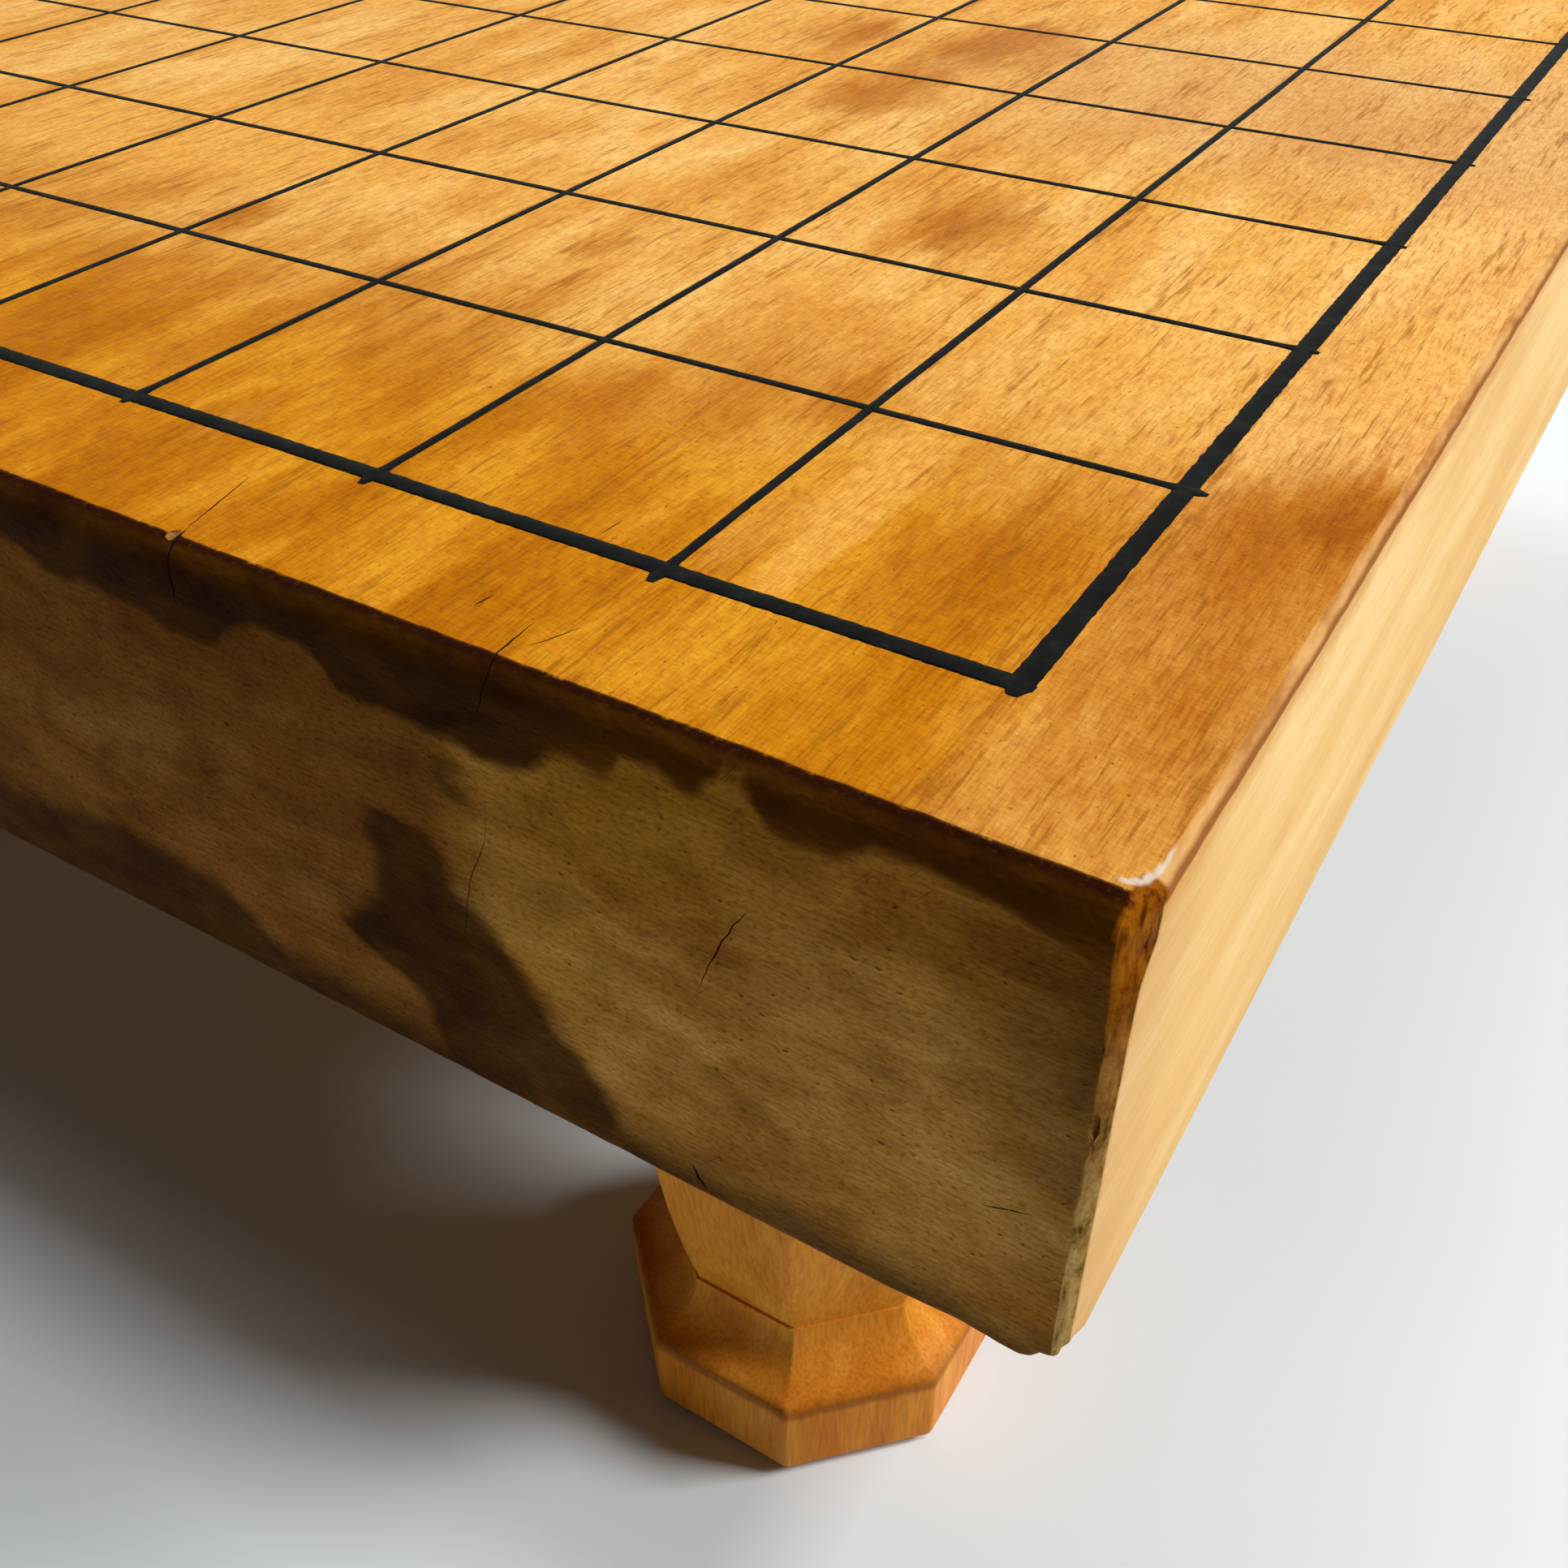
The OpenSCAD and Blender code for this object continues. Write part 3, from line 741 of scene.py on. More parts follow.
def crack(width, depth, path, cutter, seed):
    """Adds one crack's wedge to the cutter: lips above the surface, a keel below it."""
    spots = []
    for (p, way), (q, other) in zip(path, path[1:]):
        p, q, way, other = (np.array(v, float) for v in (p, q, way, other))
        pieces = max(2, round(np.linalg.norm(q - p) / PIECE))
        spots += [(p + (q - p) * i / pieces, way + (other - way) * i / pieces) for i in range(pieces)]
    spots.append((np.array(path[-1][0], float), np.array(path[-1][1], float)))
    rings = []
    for number, (spot, way) in enumerate(spots):
        way = way / np.linalg.norm(way)
        ahead = spots[min(number + 1, len(spots) - 1)][0] - spots[max(number - 1, 0)][0]
        across_it = np.cross(way, ahead / np.linalg.norm(ahead))
        # The wedge closes to nothing at both ends, and wanders a little on its way
        full = math.sin(math.pi * (0.04 + 0.92 * number / (len(spots) - 1))) ** 0.7
        jog = 0.16 * noise.noise(Vector(spot) * 0.9 + Vector((seed, 0, 0)))
        half_gap = width * full / 2 * (1 + 0.4 * noise.noise(Vector(spot) * 1.7))
        middle = spot + across_it * jog
        spread = half_gap * (1 + LIFT / (depth * full))
        rings.append([cutter.verts.new(v) for v in (
            middle + way * LIFT + across_it * spread, middle + way * LIFT - across_it * spread,
            middle - way * depth * full)])
    for one, two in zip(rings, rings[1:]):
        for i in range(3):
            cutter.faces.new((one[i], one[(i + 1) % 3], two[(i + 1) % 3], two[i]))
    cutter.faces.new(rings[0][::-1])
    cutter.faces.new(rings[-1])


def lump(middle, reach, cutter, seed):
    """Adds one nick's lump to the cutter, squashed to its reach in mm along each axis."""
    made = bmesh.ops.create_icosphere(cutter, subdivisions=2, radius=1.0)["verts"]
    for v in made:
        swell = 1 + 0.35 * noise.noise(v.co * 1.6 + Vector((seed * 7.3, seed, 0)))
        v.co = Vector(middle) + Vector(c * r for c, r in zip(v.co * swell, reach))


# Each nick: its middle and its reach in mm. The last ones are along edges out of the photo's sight
NICKS = [
    ((74.8, -179.5, 142.0), (0.65, 0.8, 0.35)), ((93.4, -182.4, 88.2), (1.1, 0.7, 0.6)),
    ((165.6, -181.6, 121.0), (0.3, 0.3, 1.4)), ((145.5, -182.3, 88.4), (0.9, 0.5, 0.5)),
    ((-12.0, -182.2, 88.4), (1.5, 0.6, 0.6)), ((-165.9, -181.4, 128), (0.5, 0.5, 1.5)),
    ((-166.7, 40, 141.7), (0.5, 1.8, 0.5)), ((-120, 182, 141.2), (1.4, 0.5, 0.5)),
    ((166.0, 181.4, 96), (0.5, 0.5, 1.4)), ((166.8, 71, 88.3), (0.5, 1.9, 0.6)),
    ((-166.8, -64, 88.3), (0.5, 1.6, 0.6)),
]

# Sizes of the joints and the recess, as the CAD model has them, and how far a cut runs past a face
LEG_X, LEG_Y, LEG_H = 116.5, 137.0, UNDER_Z
TENON_R, TENON_L, TENON_BEVEL = 12.0, 24.0, 1.5
TENON_CLEAR, MORTISE_ROOM = 0.1, 1.5
RECESS, RECESS_DEPTH, PEAK = 33.0, 14.0, 8.0
PAST = 1.0


def recess_cutter(cutter):
    """Adds the square recess, its ceiling dipping to a low peak in the middle."""
    corners = [(-RECESS, -RECESS), (RECESS, -RECESS), (RECESS, RECESS), (-RECESS, RECESS)]
    floor_ring = [cutter.verts.new((x, y, UNDER_Z - PAST)) for x, y in corners]
    ceiling = [cutter.verts.new((x, y, UNDER_Z + RECESS_DEPTH)) for x, y in corners]
    tip = cutter.verts.new((0, 0, UNDER_Z + RECESS_DEPTH - PEAK))
    cutter.faces.new(floor_ring[::-1])
    for i in range(4):
        j = (i + 1) % 4
        cutter.faces.new((floor_ring[i], floor_ring[j], ceiling[j], ceiling[i]))
        cutter.faces.new((ceiling[i], ceiling[j], tip))


def cutter_object(name, fill, material):
    """A cutter in metres, made by fill, whose cuts take the material."""
    cutter = bmesh.new()
    fill(cutter)
    bmesh.ops.recalc_face_normals(cutter, faces=cutter.faces)
    bmesh.ops.scale(cutter, vec=(MM, MM, MM), verts=cutter.verts)
    mesh = bpy.data.meshes.new(name)
    cutter.to_mesh(mesh)
    mesh.materials.append(material)
    return in_scene(name, mesh)


def all_cracks(cutter):
    """Adds every drying crack to the cutter."""
    for seed, (width, depth, path) in enumerate(CRACKS):
        crack(width, depth, path, cutter, seed)


def all_nicks(cutter):
    """Adds every nick to the cutter."""
    for seed, (middle, reach) in enumerate(NICKS):
        lump(middle, reach, cutter, seed)


def joints_and_recess(cutter):
    """Adds the four round mortises and the recess to the cutter."""
    length = TENON_L + MORTISE_ROOM + PAST
    for x in (-LEG_X, LEG_X):
        for y in (-LEG_Y, LEG_Y):
            bmesh.ops.create_cone(cutter, cap_ends=True, segments=64, radius1=TENON_R + TENON_CLEAR,
                                  radius2=TENON_R + TENON_CLEAR, depth=length,
                                  matrix=Matrix.Translation((x, y, UNDER_Z - PAST + length / 2)))
    recess_cutter(cutter)


cutters = [cutter_object("cut_cracks", all_cracks, crack_dirt_and_shade),
           cutter_object("cut_nicks", all_nicks, split_wood),
           cutter_object("cut_joints", joints_and_recess, dry_wood)]
print(len(CRACKS), "cracks and", len(NICKS), "nicks to cut")

# %% Cutting the plank
def mesh_object(name, places, polygons, edges=()):
    """An object from points in mm."""
    mesh = bpy.data.meshes.new(name)
    mesh.from_pydata([tuple(p * MM) for p in places], edges, polygons)
    return in_scene(name, mesh)


def frozen(obj, name):
    """A plain mesh object with the modifiers' result, in place of obj."""
    evaluated = obj.evaluated_get(bpy.context.evaluated_depsgraph_get())
    mesh = bpy.data.meshes.new_from_object(evaluated)
    bpy.data.objects.remove(obj)
    mesh.name = name
    return in_scene(name, mesh)


uncut = mesh_object("uncut_plank", points, faces)
uncut.data.materials.append(plank_wood)
for cutter in cutters:
    cut = uncut.modifiers.new(cutter.name, "BOOLEAN")
    cut.operation, cut.solver, cut.object = "DIFFERENCE", "EXACT", cutter
    cut.material_mode = "TRANSFER"
    cutter.hide_render = True
plank = frozen(uncut, "worn_plank")
for cutter in cutters:
    bpy.data.objects.remove(cutter)
plank.data.polygons.foreach_set("use_smooth", [True] * len(plank.data.polygons))
plank.data.set_sharp_from_angle(angle=math.radians(32))
print("plank", len(plank.data.polygons), "faces; materials", [m.name for m in plank.data.materials])

# %% [markdown]
# ## Geometry Nodes: one tree for the legs
# Every leg is the same half outline, carved round eight sides. That is a rule, so it is a tree:
# the object's own mesh is the half outline, a line of points with X as the distance from the
# axis to a flat and Z as the height. The tree lays a grid, one column for each point round an
# eight-sided ring and one row for each point of the outline, and puts each grid point at the
# ring's place, as far out as the outline says. The ring's corners are filleted, because a carver
# breaks a sharp arris. Where the outline is as narrow as the tenon, a round ring takes over. A
# noise then leaves faint tool marks on the carved faces.

# %% Helpers for trees
def new_tree(name, sockets):
    """A Geometry Nodes tree with its named inputs, and its group input node."""
    tree = bpy.data.node_groups.new(name, "GeometryNodeTree")
    tree.interface.new_socket("Geometry", in_out="OUTPUT", socket_type="NodeSocketGeometry")
    tree.interface.new_socket("Geometry", in_out="INPUT", socket_type="NodeSocketGeometry")
    for label, kind, value in sockets:
        socket = tree.interface.new_socket(label, in_out="INPUT", socket_type=kind)
        socket.default_value = value
    return tree, tree.nodes.new("NodeGroupInput").outputs


def close_tree(tree, shape, material):
    """Ends a tree: real geometry, smooth, with its material."""
    shape = add(tree, "GeometryNodeRealizeInstances", {"Geometry": shape})
    shape = add(tree, "GeometryNodeSetShadeSmooth", {0: shape})
    shape = add(tree, "GeometryNodeSetMaterial", {"Geometry": shape, "Material": material})
    add(tree, "NodeGroupOutput", {0: shape})


def grown(obj, tree, values, name):
    """Runs the tree on obj with these input values and keeps the result as a plain mesh."""
    modifier = obj.modifiers.new(tree.name, "NODES")
    modifier.node_group = tree
    names = {item.name: item.identifier for item in tree.interface.items_tree if item.in_out == "INPUT"}
    for label, value in values.items():
        modifier[names[label]] = value
    return frozen(obj, name)


def jitter(tree, where, seed, scale, share, amount):
    """A random offset at each place: a centred noise, shared out to the axes, times an amount."""
    offset = add(tree, "ShaderNodeTexNoise", {"Vector": where, "W": seed, "Scale": scale, "Detail": 2.0},
                 out=1, noise_dimensions="4D")
    offset = add(tree, "ShaderNodeVectorMath", {0: offset, 1: (0.5, 0.5, 0.5)}, operation="SUBTRACT")
    offset = add(tree, "ShaderNodeVectorMath", {0: offset, 1: share}, operation="MULTIPLY")
    return add(tree, "ShaderNodeVectorMath", {0: offset, "Scale": amount}, operation="SCALE")


print("helpers for trees are ready")

# %% [markdown]
# The legs are a redder wood than the plank, carved with the grain upright and finished with the
# same oil. Along the ridge round the calyx, the flared foot, the oil has gone brown.

# %% Leg wood
def leg_finish():
    """Softwood carved with a chisel and oiled: satin facets with streaks of upright grain."""
    material, tree, place = new_material("carved_oiled_leg_wood")
    figure = streaks(tree, place, (9, 9, 38), 6, 3.0, 0.55, 0.6)
    wood = add(tree, "ShaderNodeValToRGB", {"Fac": figure},
               stops=[(0.30, "#d07a1b"), (0.50, "#e18e2a"), (0.70, "#f1a43d")])
    fibre = streaks(tree, place, (0.5, 0.5, 6), 15, 4.0, 0.6)
    wood = darken(tree, wood, fibre, 0.5, [(0.30, "#b89468"), (0.50, "#eee2cf"), (0.62, "#ffffff")])
    # A wavering brown line, a millimetre below the ridge
    uneven = shaken(tree, place, (5, 5, 5), (0, 0, 0.8), 3)
    height = add(tree, "ShaderNodeSeparateXYZ", {0: uneven}, out=2)
    line = add(tree, "ShaderNodeMath", {0: height, 1: 15.2 * MM}, operation="SUBTRACT")
    line = add(tree, "ShaderNodeMath", {0: line}, operation="ABSOLUTE")
    wood = layer(tree, wood, line, (1.8 * MM, 0.3 * MM, 0.6), "#7c3f10")
    surface(tree, wood, 0.4, fibre, 0.5, 0.08 * MM, {"IOR": 1.48, "Specular IOR Level": 0.05})
    return material


leg_wood = leg_finish()
print("leg wood has", len(leg_wood.node_tree.nodes), "nodes")

# %% The half outline of a leg
# From the CAD model, in mm: A is half the size across the flats, and Z is the height
FRUIT_A, FRUIT_Z = 24.0, 72.0
WAIST_A, WAIST_Z = 18.3, 24.5
CALYX_A, LEDGE, FLARE_H = 25.3, 0.4, 8.3
FOOT_R, SOLE_H, SOLE_IN = 2.5, 0.4, 0.3
FLARE_SWEEP = math.radians(77)
# How many straight steps each curve takes, and how far above the ledge the fruit starts
FOOT_STEPS, FLARE_STEPS, FRUIT_STEPS = 8, 14, 24
ABOVE = 0.15


def leg_outline():
    """(distance to a flat, height) in mm from the middle of the sole to the tenon's tip."""
    sole_a = CALYX_A - FOOT_R - SOLE_IN
    ends = [(0, 0), (sole_a, 0)]
    for i in range(FOOT_STEPS + 1):
        turn = math.pi / 2 * i / FOOT_STEPS
        ends.append((CALYX_A - FOOT_R * (1 - math.sin(turn)), SOLE_H + FOOT_R * (1 - math.cos(turn))))
    ridge_z = WAIST_Z - FLARE_H
    # The upright band of the calyx, and its blunted ridge
    ends += [(CALYX_A, z) for z in (5, 8, 11, 13.5, ridge_z - 0.7)]
    ends += [(CALYX_A - 0.1, ridge_z - 0.3), (CALYX_A - 0.35, ridge_z - 0.05)]
    flare_w = CALYX_A - WAIST_A - LEDGE
    for i in range(1, FLARE_STEPS + 1):
        turn = FLARE_SWEEP * (1 - i / FLARE_STEPS)
        ends.append((WAIST_A + LEDGE + flare_w * (1 - math.cos(turn)) / (1 - math.cos(FLARE_SWEEP)),
                     WAIST_Z - FLARE_H * math.sin(turn) / math.sin(FLARE_SWEEP)))
    rise, swell = FRUIT_Z - WAIST_Z, FRUIT_A - WAIST_A
    arc = (rise * rise + swell * swell) / (2 * swell)
    for i in range(FRUIT_STEPS + 1):
        z = WAIST_Z + ABOVE + (LEG_H - WAIST_Z - ABOVE) * i / FRUIT_STEPS
        ends.append((FRUIT_A - arc + math.sqrt(arc * arc - (z - FRUIT_Z) ** 2), z))
    tip = LEG_H + TENON_L
    ends += [(TENON_R, LEG_H), (TENON_R, tip - TENON_BEVEL), (TENON_R - TENON_BEVEL, tip), (0, tip)]
    return ends


outline = leg_outline()
print(len(outline), "points on the outline")

# %% The tree that carves a leg
# The sole and the top of the leg stay smooth for this far, so that they seat flat
SEAT = 2 * MM


def leg_tree(material):
    """A tree that turns a half outline into a carved leg with its tenon."""
    tree, given = new_tree("carved_leg", [
        ("Sides", "NodeSocketInt", 8), ("Arris radius", "NodeSocketFloat", 0.04),
        ("Tenon radius", "NodeSocketFloat", 0.012), ("Tool marks", "NodeSocketFloat", 0.00025),
        ("Seed", "NodeSocketFloat", 1.0), ("Axis", "NodeSocketVector", (0, 0, 0))])
    outline_points, sides, arris, tenon, marks, seed, axis = given[:7]
    half_side = add(tree, "ShaderNodeMath", {0: math.pi, 1: sides}, operation="DIVIDE")
    reach = add(tree, "ShaderNodeMath",
                {0: 1.0, 1: add(tree, "ShaderNodeMath", {0: half_side}, operation="COSINE")},
                operation="DIVIDE")
    ring = add(tree, "GeometryNodeCurvePrimitiveCircle", {"Resolution": sides, "Radius": reach})
    turn = add(tree, "ShaderNodeCombineXYZ", {2: half_side})
    ring = add(tree, "GeometryNodeTransform", {"Geometry": ring, "Rotation": turn})
    ring = add(tree, "GeometryNodeFilletCurve", {"Curve": ring, "Radius": arris, "Count": 3}, mode="POLY")
    ring = add(tree, "GeometryNodeSubdivideCurve", {"Curve": ring, "Cuts": 3})
    around = add(tree, "GeometryNodeAttributeDomainSize", {"Geometry": ring}, component="CURVE")
    up = add(tree, "GeometryNodeAttributeDomainSize", {"Geometry": outline_points}, component="MESH")
    columns = add(tree, "ShaderNodeMath", {0: around, 1: 1.0}, operation="ADD")
    sheet = add(tree, "GeometryNodeMeshGrid", {"Vertices X": columns, "Vertices Y": up})
    number = add(tree, "GeometryNodeInputIndex")
    column = add(tree, "ShaderNodeMath",
                 {0: add(tree, "ShaderNodeMath", {0: number, 1: up}, operation="DIVIDE")},
                 operation="FLOOR")
    column = add(tree, "ShaderNodeMath", {0: column, 1: around}, operation="MODULO")
    row = add(tree, "ShaderNodeMath", {0: number, 1: up}, operation="MODULO")
    where = add(tree, "GeometryNodeInputPosition")
    flat = add(tree, "GeometryNodeSampleIndex", {"Geometry": ring, "Value": where, "Index": column},
               data_type="FLOAT_VECTOR", domain="POINT")
    high_up = add(tree, "GeometryNodeSampleIndex",
                  {"Geometry": outline_points, "Value": where, "Index": row},
                  data_type="FLOAT_VECTOR", domain="POINT")
    out_by, _, height = add(tree, "ShaderNodeSeparateXYZ", {0: high_up}).node.outputs
    narrow = add(tree, "FunctionNodeCompare",
                 {0: out_by, 1: add(tree, "ShaderNodeMath", {0: tenon, 1: 0.00001}, operation="ADD")},
                 data_type="FLOAT", operation="LESS_THAN")
    round_ring = add(tree, "ShaderNodeVectorMath", {0: flat}, operation="NORMALIZE")
    plan = add(tree, "GeometryNodeSwitch", {"Switch": narrow, "False": flat, "True": round_ring},
               input_type="VECTOR")
    plan = add(tree, "ShaderNodeVectorMath", {0: plan, "Scale": out_by}, operation="SCALE")
    place = add(tree, "ShaderNodeVectorMath",
                {0: plan, 1: add(tree, "ShaderNodeCombineXYZ", {2: height})}, operation="ADD")
    leg = add(tree, "GeometryNodeSetPosition", {"Geometry": sheet, "Position": place})
    leg = add(tree, "GeometryNodeMergeByDistance", {"Geometry": leg, "Distance": 0.000002})
    chatter = jitter(tree, where, seed, 110.0, (1, 1, 0.4), marks)
    at_z = add(tree, "ShaderNodeSeparateXYZ", {0: where}, out=2)
    carved = add(tree, "FunctionNodeCompare", {0: at_z, 1: SEAT}, data_type="FLOAT",
                 operation="GREATER_THAN")
    below = add(tree, "FunctionNodeCompare", {0: at_z, 1: LEG_H * MM - SEAT}, data_type="FLOAT",
                operation="LESS_THAN")
    carved = add(tree, "FunctionNodeBooleanMath", {0: carved, 1: below}, operation="AND")
    leg = add(tree, "GeometryNodeSetPosition", {"Geometry": leg, "Selection": carved, "Offset": chatter})
    leg = add(tree, "GeometryNodeSetPosition", {"Geometry": leg, "Offset": axis})
    close_tree(tree, leg, material)
    return tree


carving = leg_tree(leg_wood)
legs = {}
# Each leg has its own seed, so its tool marks are its own
for seed, (side, end) in enumerate([(-1, -1), (1, -1), (-1, 1), (1, 1)]):
    name = "leg_" + ("front" if end < 0 else "back") + ("_left" if side < 0 else "_right")
    blank = mesh_object("half_outline", np.array([(a, 0, z) for a, z in outline]), [],
                        [(i, i + 1) for i in range(len(outline) - 1)])
    axis = (side * LEG_X * MM, end * LEG_Y * MM, 0)
    legs[name] = grown(blank, carving, {"Seed": seed * 3.7, "Axis": axis}, "carved_" + name)
    body = bmesh.new()
    body.from_mesh(legs[name].data)
    bmesh.ops.recalc_face_normals(body, faces=body.faces)
    print(name, len(body.faces), "faces, volume", round(body.calc_volume() / MM ** 3), "mm3, open edges",
          sum(not e.is_manifold for e in body.edges))
    body.to_mesh(legs[name].data)
    body.free()
    legs[name].data.set_sharp_from_angle(angle=math.radians(35))

# %% [markdown]
# ## Geometry Nodes: ruled lacquer
# The lines are ruled in thick black lacquer, with a blade dipped in it, so each line stands a
# little proud of the wood. They repeat, so they are a tree too: a row of points, a straight line
# on each, and a low bead swept along it. Noise moves the line and its width a little, roughens
# the bead's edge, and swells it near the ends, where the blade was set down and lifted past the
# frame line. The files and the ranks are the same tree, turned a quarter round.

# %% Lacquer
def lacquer_finish():
    """Thick tree lacquer, ruled wet and left to harden: satin black, dulled by scuffs.

    Real scuffs are hair-fine. They are drawn a quarter of a millimetre wide, so that they show."""
    material, tree, place = new_material("old_black_lacquer")
    cloud = streaks(tree, place, (3, 3, 3), 4, 4.0, 0.6)
    colour = add(tree, "ShaderNodeValToRGB", {"Fac": cloud},
                 stops=[(0.35, "#090b09"), (0.55, "#101210"), (0.72, "#1c1f1b")])
    scuff = streaks(tree, place, (0.25, 0.25, 0.25), 8, 3.0, 0.6)
    gloss = add(tree, "ShaderNodeMapRange",
                {"Value": scuff, "From Min": 0.3, "From Max": 0.7, "To Min": 0.45, "To Max": 0.65})
    surface(tree, colour, gloss, scuff, 0.4, 0.05 * MM, {"IOR": 1.5, "Specular IOR Level": 0.03})
    return material


lacquer = lacquer_finish()
print("lacquer has", len(lacquer.node_tree.nodes), "nodes")

# %% The tree that rules the lines
def ruling_tree(material):
    """A tree that rules a row of lacquer lines. Its sizes are in metres, like all of Blender's."""
    tree, given = new_tree("ruled_lines", [
        ("Count", "NodeSocketInt", 8), ("Spacing", "NodeSocketFloat", 0.033),
        ("Length", "NodeSocketFloat", 0.324), ("Past the end", "NodeSocketFloat", 0.0012),
        ("Width", "NodeSocketFloat", 0.0012), ("Height", "NodeSocketFloat", 0.00014),
        ("Wobble", "NodeSocketFloat", 0.0001), ("Ragged", "NodeSocketFloat", 0.00008),
        ("Swelling", "NodeSocketFloat", 0.3), ("Turn", "NodeSocketFloat", 0.0),
        ("Level", "NodeSocketFloat", 0.142), ("Seed", "NodeSocketFloat", 0.0)])
    (_, count, spacing, length, past, width, height, wobble, ragged, swelling, turn, level,
     seed) = given[:13]
    half = add(tree, "ShaderNodeMath", {0: count, 1: 1.0}, operation="SUBTRACT")
    half = add(tree, "ShaderNodeMath", {0: half, 1: -0.5}, operation="MULTIPLY")
    half = add(tree, "ShaderNodeMath", {0: half, 1: spacing}, operation="MULTIPLY")
    row = add(tree, "GeometryNodeMeshLine",
              {"Count": count, "Start Location": add(tree, "ShaderNodeCombineXYZ", {0: half}),
               "Offset": add(tree, "ShaderNodeCombineXYZ", {0: spacing})}, mode="OFFSET")
    reach = add(tree, "ShaderNodeMath", {0: length, 1: 0.5, 2: past}, operation="MULTIPLY_ADD")
    back = add(tree, "ShaderNodeMath", {0: reach, 1: -1.0}, operation="MULTIPLY")
    rule = add(tree, "GeometryNodeCurvePrimitiveLine",
               {"Start": add(tree, "ShaderNodeCombineXYZ", {1: back}),
                "End": add(tree, "ShaderNodeCombineXYZ", {1: reach})})
    ruled = add(tree, "GeometryNodeInstanceOnPoints", {"Points": row, "Instance": rule})
    ruled = add(tree, "GeometryNodeRealizeInstances", {"Geometry": ruled})
    where = add(tree, "GeometryNodeInputPosition")
    lifted = add(tree, "ShaderNodeTexNoise",
                 {"Vector": where, "W": seed, "Scale": 400.0, "Detail": 0.0}, noise_dimensions="4D")
    lifted = add(tree, "ShaderNodeMapRange",
                 {"Value": lifted, "From Min": 0.3, "From Max": 0.7, "To Min": -0.3, "To Max": 0.35})
    lifted = add(tree, "ShaderNodeMath", {0: lifted, 1: past}, operation="MULTIPLY")
    outward = add(tree, "ShaderNodeMath", {0: add(tree, "ShaderNodeSeparateXYZ", {0: where}, out=1)},
                  operation="SIGN")
    lifted = add(tree, "ShaderNodeMath", {0: lifted, 1: outward}, operation="MULTIPLY")
    ruled = add(tree, "GeometryNodeSetPosition",
                {"Geometry": ruled, "Offset": add(tree, "ShaderNodeCombineXYZ", {1: lifted})})
    ruled = add(tree, "GeometryNodeResampleCurve", {"Curve": ruled, "Length": 0.00055}, mode="LENGTH")
    slow = add(tree, "ShaderNodeTexNoise",
               {"Vector": where, "W": seed, "Scale": 45.0, "Detail": 1.0}, noise_dimensions="4D")
    slow = add(tree, "ShaderNodeMath", {0: slow, 1: 0.5}, operation="SUBTRACT")
    slow = add(tree, "ShaderNodeMath", {0: slow, 1: 2.0}, operation="MULTIPLY")
    aside = add(tree, "ShaderNodeMath", {0: slow, 1: wobble}, operation="MULTIPLY")
    ruled = add(tree, "GeometryNodeSetPosition",
                {"Geometry": ruled, "Offset": add(tree, "ShaderNodeCombineXYZ", {0: aside})})
    so_far = add(tree, "GeometryNodeSplineParameter", out=0)
    from_end = add(tree, "ShaderNodeMath", {0: so_far, 1: 0.5}, operation="SUBTRACT")
    from_end = add(tree, "ShaderNodeMath", {0: from_end}, operation="ABSOLUTE")
    from_end = add(tree, "ShaderNodeMath", {0: 0.5, 1: from_end}, operation="SUBTRACT")
    from_end = add(tree, "ShaderNodeMath", {0: from_end, 1: length}, operation="MULTIPLY")
    # The line swells where the blade was set down, and tapers in its last millimetre
    swell = add(tree, "ShaderNodeMapRange",
                {"Value": from_end, "From Min": 0.0045, "From Max": 0.0022}, **SMOOTH)
    taper = add(tree, "ShaderNodeMapRange",
                {"Value": from_end, "From Min": 0.0, "From Max": 0.0011, "To Min": 0.45}, **SMOOTH)
    swell = add(tree, "ShaderNodeMath", {0: swell, 1: swelling, 2: 1.0}, operation="MULTIPLY_ADD")
    swell = add(tree, "ShaderNodeMath", {0: swell, 1: taper}, operation="MULTIPLY")
    breadth = add(tree, "ShaderNodeMath", {0: slow, 1: 0.10, 2: 1.0}, operation="MULTIPLY_ADD")
    breadth = add(tree, "ShaderNodeMath", {0: breadth, 1: swell}, operation="MULTIPLY")
    bead = add(tree, "GeometryNodeCurvePrimitiveCircle", {"Resolution": 10, "Radius": 0.5})
    tall = add(tree, "ShaderNodeMath", {0: height, 1: 2.0}, operation="MULTIPLY")
    bead = add(tree, "GeometryNodeTransform",
               {"Geometry": bead, "Scale": add(tree, "ShaderNodeCombineXYZ", {0: width, 1: tall, 2: 1.0})})
    ruled = add(tree, "GeometryNodeCurveToMesh",
                {"Curve": ruled, "Profile Curve": bead, "Scale": breadth, "Fill Caps": True})
    rag = jitter(tree, where, seed, 1300.0, (2.0, 2.0, 0.5), ragged)
    ruled = add(tree, "GeometryNodeSetPosition", {"Geometry": ruled, "Offset": rag})
    ruled = add(tree, "GeometryNodeTransform",
                {"Geometry": ruled, "Rotation": add(tree, "ShaderNodeCombineXYZ", {2: turn}),
                 "Translation": add(tree, "ShaderNodeCombineXYZ", {2: level})})
    close_tree(tree, ruled, material)
    return tree


ruling = ruling_tree(lacquer)
# A square's width and length in mm, and how many squares there are along each side
CELL_W, CELL_L, FILES = 33.0, 36.0, 9
FIELD_W, FIELD_L = FILES * CELL_W, FILES * CELL_L


